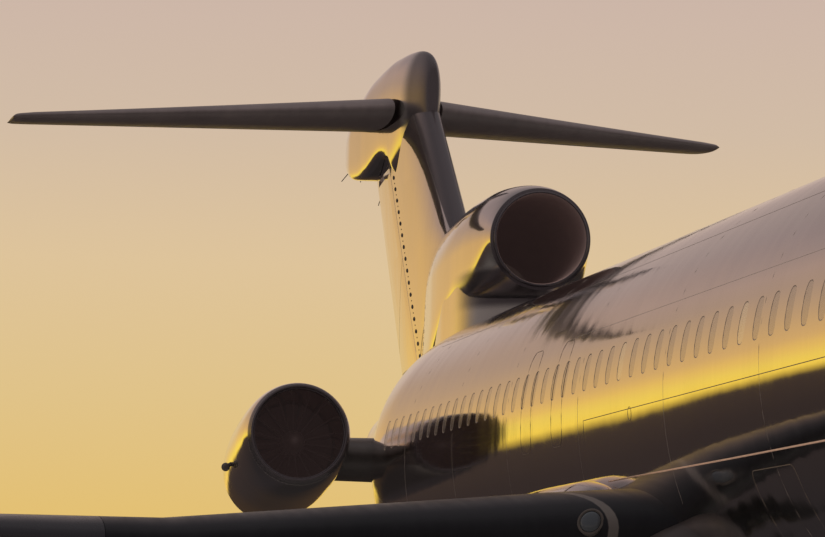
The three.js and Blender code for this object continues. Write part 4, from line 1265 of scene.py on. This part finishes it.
# Neck between the duct and the body, upright at its sides: station, half width. It starts 300 further
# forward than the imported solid's, and is up to 330 wider each side there
neckRows = [
    (31600, 60), (31680, 170), (31900, 390), (32200, 575), (32500, 685), (32800, 715), (33900, 690),
    (34700, 632), (35500, 545), (36300, 450), (36900, 350), (37300, 230), (37500, 110),
]
neck = {"bottom": 5300, "top": 6350, "steps": 40}


def makeDuct():
    centreRows = [(0, 0), (900, 0), (2000, -90), (3300, -520)]

    def circle(station, z, radius):
        return lambda angle: at(station, radius * math.sin(angle), z + radius * math.cos(angle))

    def boreRing(deep, radius):
        return circle(duct["station"] + deep, duct["z"] + smoothAt(centreRows, deep)[1], radius)
    inner = [boreRing(deep, duct["bore"]) for deep in spread(duct["deep"], 150, 16)]
    lip = []
    for turn in spread(0, 180, 10):
        swing = math.radians(turn)
        middle = (duct["bore"] + duct["lip"]) / 2
        half = (duct["lip"] - duct["bore"]) / 2
        lip.append(circle(duct["station"] + 60 - 60 * math.sin(swing), duct["z"],
                          middle - half * math.cos(swing)))
    outer = [squareRing(ductRows, s, powerAt(duct, s))
             for s in blunt(31160, 32000, 8)[1:] + spread(32180, 38150, 34)]
    front = neckRows[0][0]
    stations = spread(front, neckRows[-1][0], neck["steps"])
    rooted = [(math.sqrt(s - front), y) for s, y in neckRows]
    half = [smoothAt(rooted, math.sqrt(s - front))[1] for s in stations]
    outline = list(zip(stations, half)) + [(s, -y) for s, y in zip(stations[::-1], half[::-1])]
    bm = bmesh.new()
    plate(bm, [at(s, y, neck["bottom"]) for s, y in outline],
          (0, 0, (neck["top"] - neck["bottom"]) * modelScale))
    walls = cutter(bm)
    room = bmesh.new()
    loft(room, 48, [boreRing(deep, duct["bore"] + 12) for deep in spread(0, duct["deep"] + 100, 17)])
    carve(walls, [cutter(room)])
    bm = bmesh.new()
    bm.from_mesh(walls.data)
    bpy.data.objects.remove(walls)
    loft(bm, duct["around"], inner + lip + outer)
    bore = duct["bore"] * 1.02 * modelScale
    for face in bm.faces:
        middle = face.calc_center_median()
        out = math.hypot(middle.y, middle.z - duct["z"] * modelScale)
        station = (noseX - middle.x) / modelScale
        facingIn = Vector((0, middle.y, middle.z - duct["z"] * modelScale)).dot(face.normal) < 0
        if facingIn and (out < bore or station > duct["station"] + 600):
            face.material_index = 1
    stow("centre_duct_shell", bm, ("ductSkin", "inlet"), replaces=("centre_duct",))


makeDuct()

# Side engines: each pod's nose points up and outboard. Distances aft of the intake and radii
podOuter = [(0, 566), (40, 592), (160, 622), (600, 664), (1500, 692), (3000, 700), (4200, 676), (4900, 646)]
pylonRows = [(700, 32250, 4300, 0.13), (2867, 32550, 3900, 0.13)]


def scaled(profile):
    return [(along * modelScale, radius * modelScale) for along, radius in profile]


def cowlProfile():
    rooted = [(math.sqrt(aft), radius) for aft, radius in podOuter]
    outer = [(s, smoothAt(rooted, math.sqrt(s))[1]) for s in blunt(36, 4900, 26)]
    middle, half = 570, 19
    lip = [(27 - 27 * math.sin(turn), middle + half * math.cos(turn)) for turn in spread(0, math.pi, 10)]
    inner = [(56, 551), (60, 540), (72, 539), (120, 538), (400, 534), (900, 528), (1750, 528), (1750, 541),
             (4500, 541), (4900, 590)]
    return outer[::-1] + lip + inner + [(4900, 644)]


def podPair(name, profile, finish, slot, steps, shade=None):
    # a turned part of both pods
    bm = bmesh.new()
    spun(bm, scaled(profile), podCentre, aftWay, straightUp, steps)
    if shade:
        for face in bm.faces:
            middle = face.calc_center_median() - podCentre
            face.material_index = shade(-middle.x / modelScale, math.hypot(middle.y, middle.z) / modelScale)
    bmesh.ops.transform(bm, matrix=podTurn, verts=bm.verts)
    stowPair(name + "_{}_shell", bm, finish, slot=slot, node=name + "_{}")


def cowlShade(aft, radius):
    if 56 < aft < 60 and radius < 552:
        return 2
    return 1 if radius < 543 and aft > 58 else 0


def nozzleWall(rows, count):
    return [(s, smoothAt(rows, s)[1]) for s in spread(rows[0][0], rows[-1][0], count)]


def makeSideEngines():
    podPair("cowl", cowlProfile(), ("podSkin", "inlet", "lip"), "polished_skin", pod["around"], cowlShade)
    outer = nozzleWall([(4901, 644), (5300, 612), (6100, 520)], 10)
    inner = nozzleWall([(4901, 590), (5300, 560), (6090, 500)], 10)[::-1]
    podPair("nozzle", outer + inner + outer[:1], "exhaust", "exhaust_steel", pod["around"])
    core = [(5400, 0), (5360, 40), (5150, 180), (4850, 330), (4500, 540), (1751, 540), (1751, 92),
            (2050, 92), (2050, 0)]
    podPair("engine", core, "engine", "engine_metal", 64)

    def ring(y):
        lead, chord, thick = straightAt(pylonRows, y)[1:]
        return aerofoilRing(chord, thick, lambda along, across: at(lead + along, y, 3980 + across))
    bm = bmesh.new()
    loft(bm, 56, [ring(y) for y in spread(700, 2200, 6)])
    stowPair("pylon_{}_shell", bm, "fairing", node="pylon_{}")


makeSideEngines()
print("engines made")

# Fans and the fixed vanes ahead of them. Distances aft of the intake
fan = {"from": 1350, "to": 1600, "root": 120, "tip": 508, "blades": 16, "chord": 205}
vane = {"at": 1170, "chord": 150, "root": 120, "tip": 523, "count": 19}


def addBlade(bm, aft, rows, turn):
    # a blade lofted outwards: radius, chord, thickness and angle to the airflow in degrees
    around = Matrix.Rotation(turn, 4, "X")

    def ring(radius, chord, thick, degrees):
        angle = math.radians(degrees)

        def place(along, across):
            u = along - chord / 2
            x = -aft - u * math.cos(angle) + across * math.sin(angle)
            y = -u * math.sin(angle) - across * math.cos(angle)
            return podCentre + around @ Vector((x, y, radius)) * modelScale
        return aerofoilRing(chord, thick, place)
    loft(bm, 14, [ring(*row) for row in rows])


def fanParts():
    bm = bmesh.new()
    hub = [(fan["from"] - 30, 0), (fan["from"] - 28, 60), (fan["from"] - 20, 130), (fan["from"], 150),
           (fan["to"] + 40, 190), (fan["to"] + 40, 90), (1990, 90), (1990, 0)]
    spun(bm, scaled(hub), podCentre, aftWay, straightUp, 48)
    radii = spread(fan["root"], fan["tip"], 5)
    rows = [(r, fan["chord"], 0.11 - 0.07 * i / 5, 24 + 28 * i / 5) for i, r in enumerate(radii)]
    for i in range(fan["blades"]):
        addBlade(bm, (fan["from"] + fan["to"]) / 2, rows, 2 * math.pi * i / fan["blades"])
    return bm


def vaneParts():
    bm = bmesh.new()
    nose = [(800, 0), (804, 25), (830, 60), (930, 115), (1080, 142), (1290, 148), (1290, 0)]
    spun(bm, scaled(nose), podCentre, aftWay, straightUp, 48)
    for i in range(vane["count"]):
        rows = [(r, vane["chord"], 0.1, 0) for r in spread(vane["root"], vane["tip"], 3)]
        addBlade(bm, vane["at"], rows, 2 * math.pi * i / vane["count"])
    return bm


for name, bm, body in (("fan", fanParts(), "fan_{}"), ("inlet_vanes", vaneParts(), "airframe")):
    bmesh.ops.transform(bm, matrix=podTurn, verts=bm.verts)
    stowPair(name + "_{}_blades", bm, "blade", body, "engine_metal", name + "_{}")
print("fans made")

# Landing gear: station, y, wheel radius, half track, half width of a tyre, rim and axle radii
noseGear = {"station": 4600, "y": 0, "wheel": 405, "track": 300, "tyre": 140, "rim": 205, "axle": 45}
mainGear = {"station": 23880, "y": 2860, "wheel": 622.5, "track": 432, "tyre": 215, "rim": 265, "axle": 70}
portWay = Vector((0, 1, 0))
# half of a tyre's section, from rim to tread: share of half width, share of height over the rim
treadRows = [(0.72, 0), (0.8, 0.05), (0.93, 0.2), (1, 0.45), (0.975, 0.67), (0.9, 0.85), (0.8, 0.94),
             (0.66, 0.985), (0.52, 1), (0.47, 1), (0.45, 0.955), (0.39, 0.955), (0.37, 1), (0.1, 1),
             (0.08, 0.955), (0, 0.955)]


def tyreParts(gear, side):
    bm = bmesh.new()
    tall = gear["wheel"] - gear["rim"]
    half = [(across * gear["tyre"], gear["rim"] + up * tall) for across, up in treadRows]
    section = half + [(-across, radius) for across, radius in half[::-1]][1:]
    centre = at(gear["station"], gear["y"] + side * gear["track"], gear["wheel"])
    spun(bm, scaled(section + half[:1]), centre, portWay, straightUp, 96)
    return bm


def wheelParts(gear):
    # both wheels of a pair, their bolts and the axle
    bm = bmesh.new()
    rim, axle = gear["rim"], gear["axle"]
    face, well = gear["track"] + gear["tyre"] * 0.62, gear["track"] - gear["tyre"] * 0.62
    half = [(well, axle), (well, rim - 6), (face, rim - 6), (face, rim - 24), (face - 30, rim * 0.82),
            (face - 50, rim * 0.6), (face - 46, rim * 0.46), (face + 6, rim * 0.36),
            (face + 20, rim * 0.3), (face + 20, 0)]
    centre = at(gear["station"], gear["y"], gear["wheel"])
    section = [(-across, radius) for across, radius in half[::-1]] + half
    spun(bm, scaled(section), centre, portWay, straightUp, 72)
    for side in (1, -1):
        for i in range(10):
            turn = 2 * math.pi * i / 10
            rib = Vector((math.sin(turn), 0, math.cos(turn))) * rim * 0.7
            ends = [centre + (rib + Vector((0, side * (face - depth), 0))) * modelScale for depth in (70, 26)]
            tube(bm, *ends, rim * 0.045 * modelScale, segments=12)
    return bm


def bars(rows, segments=36):
    # round bars between two points each: station, y, z, station, y, z, radius
    bm = bmesh.new()
    for row in rows:
        tube(bm, at(*row[:3]), at(*row[3:6]), row[6] * modelScale, segments=segments)
    return bm


def box(bm, s0, s1, y0, y1, z0, z1):
    block(bm, lambda x, y, z: at(s0 if x else s1, y1 if y else y0, z1 if z else z0))


def makeNoseGear():
    bm = bars([(4600, 0, 470, 4600, 0, 1480, 62), (4600, 0, 1160, 4600, 0, 1280, 120),
               (4600, -75, 405, 4600, 75, 405, 78), (4750, -60, 520, 4750, 60, 520, 34),
               (4700, 0, 540, 4790, 0, 820, 22), (4790, 0, 820, 4690, 0, 1190, 22)])
    box(bm, 4600, 4750, -50, 50, 485, 555)
    stow("nose_piston_parts", bm, "steel", "nose_strut", "bare_steel", ("nose_piston",))
    bm = bars([(4600, 0, 1290, 4600, 0, 2444, 100), (4600, -390, 2250, 4600, 390, 2250, 60),
               (4600, 0, 1650, 3710, 0, 2380, 40), (4600, 0, 1330, 4600, 0, 1420, 112),
               (4600, 0, 1900, 4600, 0, 1990, 112), (4610, 105, 1350, 4610, 105, 2200, 14)])
    stow("nose_leg_parts", bm, "gear", "airframe", "gear_paint", ("nose_leg",))
    stow("nose_wheels_parts", wheelParts(noseGear), "gear", "nose_wheels", "gear_paint", ("nose_wheels",))
    for side, name in ((1, "left"), (-1, "right")):
        stow(f"nose_tyre_{name}_tread", tyreParts(noseGear, side), "rubber", "nose_wheels", "tyre",
             (f"nose_tyre_{name}",))
        smoothNode(f"nose_gear_door_{name}", "skin", bevel=0.002)


def makeMainGear():
    y = mainGear["y"]
    bm = bars([(23880, y, 690, 23880, y, 1180, 85), (23880, y, 1060, 23880, y, 2300, 135),
               (23880, y - 60, 1500, 23880, 2010, 1900, 55), (23880, y, 1080, 23880, y, 1170, 150),
               (23880, y, 1800, 23880, y, 1900, 150), (24100, y - 55, 680, 24100, y + 55, 680, 40),
               (24080, y, 700, 24170, y, 930, 26), (24170, y, 930, 24010, y, 1160, 26),
               (23740, y + 60, 1100, 23740, y + 60, 2250, 16)])
    tube(bm, at(23880, y - 200, 622.5), at(23880, y + 200, 622.5), 115 * modelScale, segments=36)
    box(bm, 23940, 24140, y - 42, y + 42, 645, 715)
    stowPair("main_leg_{}_parts", bm, "gear", slot="gear_paint", node="main_leg_{}")
    wheels = "main_wheels_{}"
    stowPair(wheels + "_parts", wheelParts(mainGear), "gear", wheels, "gear_paint", wheels)
    for side, name in ((1, "outer"), (-1, "inner")):
        tyre = f"main_tyre_{name}" + "_{}"
        stowPair(tyre + "_tread", tyreParts(mainGear, side), "rubber", wheels, "tyre", tyre)


# Centre engine's nozzle, as distances aft of the tail's end and radii
nozzleRows = [(6, 615), (500, 590), (1210, 520), (1200, 500), (500, 548), (6, 580), (6, 615)]


def makeCentreEngine():
    bm = bmesh.new()
    spun(bm, scaled(nozzleRows), at(tailPipe["end"], 0, tailPipe["z"]), aftWay, straightUp, 72)
    stow("centre_nozzle_shell", bm, "exhaust", slot="exhaust_steel", replaces=("nozzle_centre",))
    smoothNode("engine_centre", "engine", slot="engine_metal")


makeNoseGear()
makeMainGear()
makeCentreEngine()
print("gear made")


# Seams and outlines on the body's skin, as corners of (station, height)
def skinPath(corners, side, step=150, lift=0.0):
    points = []
    for (s0, z0), (s1, z1) in zip(corners, corners[1:]):
        count = max(1, round(math.hypot(s1 - s0, z1 - z0) / step))
        points += [(s0 + (s1 - s0) * i / count, z0 + (z1 - z0) * i / count) for i in range(count)]
    points.append(corners[-1])
    placed = [skinPoint(s, side, z, lift) for s, z in points]
    return [(point, bodyNormal(fuselageRows, point)[0]) for point in placed]


def roundedOutline(s0, s1, z0, z1, radius):
    corners = []
    for s, z, first in ((s1 - radius, z1 - radius, 0), (s0 + radius, z1 - radius, 90),
                        (s0 + radius, z0 + radius, 180), (s1 - radius, z0 + radius, 270)):
        for turn in spread(first, first + 90, 5):
            angle = math.radians(turn)
            corners.append((s + radius * math.cos(angle), z + radius * math.sin(angle)))
    return corners + corners[:1]


# Both stations, both heights and corner radius; both sides have the exits, and a door row starts with its side
exitRows = [(21950, 22460, 3510, 4550, 130), (20410, 20920, 3510, 4550, 130)]
hatchRow = (17300, 17440, 3590, 3710, 60)
doorRows = [(1, 4370, 5230, 2900, 4790, 150), (-1, 12100, 13460, 1990, 2970, 90),
            (-1, 27150, 28520, 1960, 2960, 90)]
seamStations = [6080, 9300, 12620, 16010, 19640, 23240, 26420, 29560, 32800, 35450]
bodySeam = {"front": 6080, "wide": 7, "proud": 1.8, "lapWide": 5, "lapProud": 1,
            "belt": 3695, "beltEnd": 19380, "beltDrop": 230, "lap": 4565, "lapEnd": 20500,
            "crown": 5200, "crownEnd": 30500, "low": 3095, "lowEnd": 18600, "lowWide": 15, "lowProud": 3}


def makeBodySeams():
    dark, soft, lit = bmesh.new(), bmesh.new(), bmesh.new()
    for side in (1, -1):
        outlines = [roundedOutline(*row) for row in exitRows]
        outlines += [roundedOutline(*row[1:]) for row in doorRows if row[0] == side]
        outlines.append(roundedOutline(*hatchRow))
        outlines.append([(bodySeam["beltEnd"], bodySeam["belt"] - bodySeam["beltDrop"]),
                         (bodySeam["beltEnd"], bodySeam["belt"]), (bodySeam["front"], bodySeam["belt"])])
        for outline in outlines:
            strip(dark, skinPath(outline, side), bodySeam["wide"], bodySeam["proud"])
        laps = [[(bodySeam["front"], bodySeam[name]), (bodySeam[name + "End"], bodySeam[name])]
                for name in ("lap", "crown")]
        # The low lap's copper bead is a painted highlight of the low sun catching it
        lowSeam = [(bodySeam["front"], bodySeam["low"]), (bodySeam["lowEnd"], bodySeam["low"])]
        strip(lit, skinPath(lowSeam, side), bodySeam["lowWide"], bodySeam["lowProud"])
        for station in seamStations:
            top, bottom, wide = bodySection(fuselageRows, station)[1:]
            tall = top - wide
            low = wide - (wide - bottom) * 0.93 if station < 15500 or station > 27000 else 2800
            turns = spread(math.radians(88), math.radians(6), 14)
            over = [(station, wide + tall * math.cos(turn)) for turn in turns]
            laps.append([(station, low), (station, wide)] + over)
        for lap in laps:
            strip(soft, skinPath(lap, side), bodySeam["lapWide"], bodySeam["lapProud"])
    stow("door_outlines", dark, "doorSeam")
    stow("skin_laps", soft, "softSeam")
    stow("lower_lap_highlight", lit, "litSeam")


def finSide(height, station, side):
    # a point of the fin's side
    lead, chord, thick = straightAt(finRows, height)[1:]
    share = (station - lead) / chord
    return at(station, side * halfThickness(share, thick) * chord, height)


finDots = {"top": (41200, 8450), "bottom": (38220, 5660), "count": 16, "radius": 32, "small": 11, "proud": 16}
# Edge where the duct's skin laps the fin: station and height
finLap = [(36900, 7150), (37250, 6780), (37700, 6200), (38000, 5850), (38250, 5550)]


def addDot(bm, point, out, radius, proud):
    turn = out.to_track_quat("Z", "Y").to_matrix().to_4x4()
    rings = spread(0, math.pi / 2, 4)[:-1]
    loft(bm, 12, [dotRing(point, turn, radius * math.cos(t), proud * math.sin(t)) for t in [0] + rings[1:]])


def dotRing(point, turn, radius, up):
    def place(angle):
        spot = Vector((radius * math.sin(angle), radius * math.cos(angle), up))
        return point + turn.to_3x3() @ spot * modelScale
    return place


def makeFinDetails():
    dots, seams = bmesh.new(), bmesh.new()
    (s0, z0), (s1, z1) = finDots["top"], finDots["bottom"]
    for side in (1, -1):
        out = Vector((0, side, 0))
        for i in range(2 * finDots["count"] - 1):
            share = i / (2 * finDots["count"] - 2)
            big = i % 2 == 0
            point = finSide(z0 + (z1 - z0) * share, s0 + (s1 - s0) * share, side)
            addDot(dots, point, out, finDots["radius" if big else "small"], finDots["proud"] if big else 6)
        # line ahead of the rudders
        path = [(finSide(z, (noseX - rudderHinge(z).x) / modelScale - 160, side), out)
                for z in spread(5750, 8900, 12)]
        strip(seams, path, 7, 1.6)
        path = [(finSide(z, s, side) + out * 0.001, out) for s, z in finLap]
        strip(seams, path, 8, 2)
    stow("fin_plugs", dots, "seam")
    stow("fin_seams", seams, "softSeam")


def makeWicks():
    # static wicks at the back of the bullet and of the upper rudder
    bm = bmesh.new()
    for start, end in (((46000, -60, 9150), (46640, -150, 8990)), ((46000, 60, 9150), (46640, 150, 8990)),
                       ((43450, 0, 8500), (43850, 0, 8330))):
        tube(bm, at(*start), at(*end), 9 * modelScale, 6 * modelScale, 8)
    stow("static_wicks", bm, "seam")


def makeKnobs():
    # a round knob on a short stem, outboard of each side engine's cowl
    bm = bmesh.new()
    centre = at(33880, 3440, 3848)
    profile = [(-70, 0), (-60, 32), (-30, 50), (10, 55), (50, 42), (75, 20), (80, 0)]
    spun(bm, scaled(profile), centre, aftWay, straightUp, 20)
    tube(bm, centre, at(33900, 3370, 3890), 26 * modelScale, segments=12)
    stowPair("cowl_knob_{}", bm, "seam")


# Polished fillet over the wing's root, beside the body: station, half width, top, bottom, widest height
filletRows = [
    (18200, 40, 2950, 2800, 2880), (18330, 150, 3000, 2600, 2860), (18500, 230, 3045, 2500, 2830),
    (18800, 285, 3090, 2400, 2800), (19250, 315, 3125, 2400, 2790), (20500, 330, 3130, 2400, 2790),
    (22500, 260, 3100, 2450, 2760), (23900, 60, 2990, 2600, 2780),
]


def makeFillets():
    bm = bmesh.new()
    loft(bm, 40, [bodyRing(filletRows, s) for s in blunt(18200, 19250, 14) + spread(19600, 23900, 14)])
    bmesh.ops.translate(bm, vec=(0, 1850 * modelScale, 0), verts=bm.verts)
    stowPair("root_fillet_{}", bm, "skin")


def makeRootLights():
    # landing light let into each wing's root
    bm, rim = bmesh.new(), bmesh.new()
    centre, out = at(16925, 2300, 2655), Vector((0.78, 0.5, 0.3)).normalized()
    turn = out.to_track_quat("Z", "Y").to_matrix().to_4x4()
    loft(bm, 32, [dotRing(centre, turn, 100 * math.cos(t), 38 * math.sin(t))
                  for t in (0, 0.4, 0.8, 1.2, 1.5)])
    section = ((124, -50), (124, 6), (112, 12), (100, 6), (100, -50))
    loft(rim, 32, [dotRing(centre, turn, radius, up) for radius, up in section])
    glass = stow("root_light_left", bm, "glass")
    ring = stow("root_light_rim_left", rim, "seam")
    mirroredPiece(glass, "root_light_right")
    mirroredPiece(ring, "root_light_rim_right")


# Blade aerials on the body's middle line: station, 1 for the roof or -1 for the belly
aerial = {"places": [(5300, 1), (8700, 1), (9700, -1), (11800, -1)], "tall": 260, "chord": 340,
          "tipChord": 190, "sweep": 160}
# Lamps' profiles, along their axis and its radius, and the beacons' places like the aerials'
lamp = {"tip": [(-110, 0), (-95, 22), (0, 42), (95, 24), (110, 0)],
        "beacon": [(0, 0), (0, 70), (60, 66), (105, 40), (120, 0)], "places": [(10900, 1), (13200, -1)]}


def bodyEdge(station, side):
    roof, floor = bodySection(fuselageRows, station)[1:3]
    return roof if side > 0 else floor


def makeAerials():
    bm = bmesh.new()

    def ring(station, z, chord):
        return aerofoilRing(chord, 0.09, lambda along, across: at(station + along, across, z))
    for station, side in aerial["places"]:
        edge = bodyEdge(station, side)
        loft(bm, 16, [ring(station, edge - side * 30, aerial["chord"]),
                      ring(station + aerial["sweep"], edge + side * aerial["tall"], aerial["tipChord"])])
    stow("blade_aerials", bm, "gear")


def makeLamps():
    # coloured lamps let into the wing tips, red ones on the body's middle line
    for name, finish, side in (("tip_lamp_left", "red", 1), ("tip_lamp_right", "green", -1)):
        bm = bmesh.new()
        centre = wingPoint(16130, 0.012)
        centre.y *= side
        spun(bm, scaled(lamp["tip"]), centre, portWay, straightUp, 20)
        stow(name, bm, finish)
    bm = bmesh.new()
    for station, side in lamp["places"]:
        centre = at(station, 0, bodyEdge(station, side) - side * 20)
        spun(bm, scaled(lamp["beacon"]), centre, straightUp * side, aftWay, 28)
    stow("body_beacons", bm, "red")


makeBodySeams()
makeFinDetails()
makeAerials()
makeLamps()
makeWicks()
makeKnobs()
makeFillets()
makeRootLights()
print("details made")
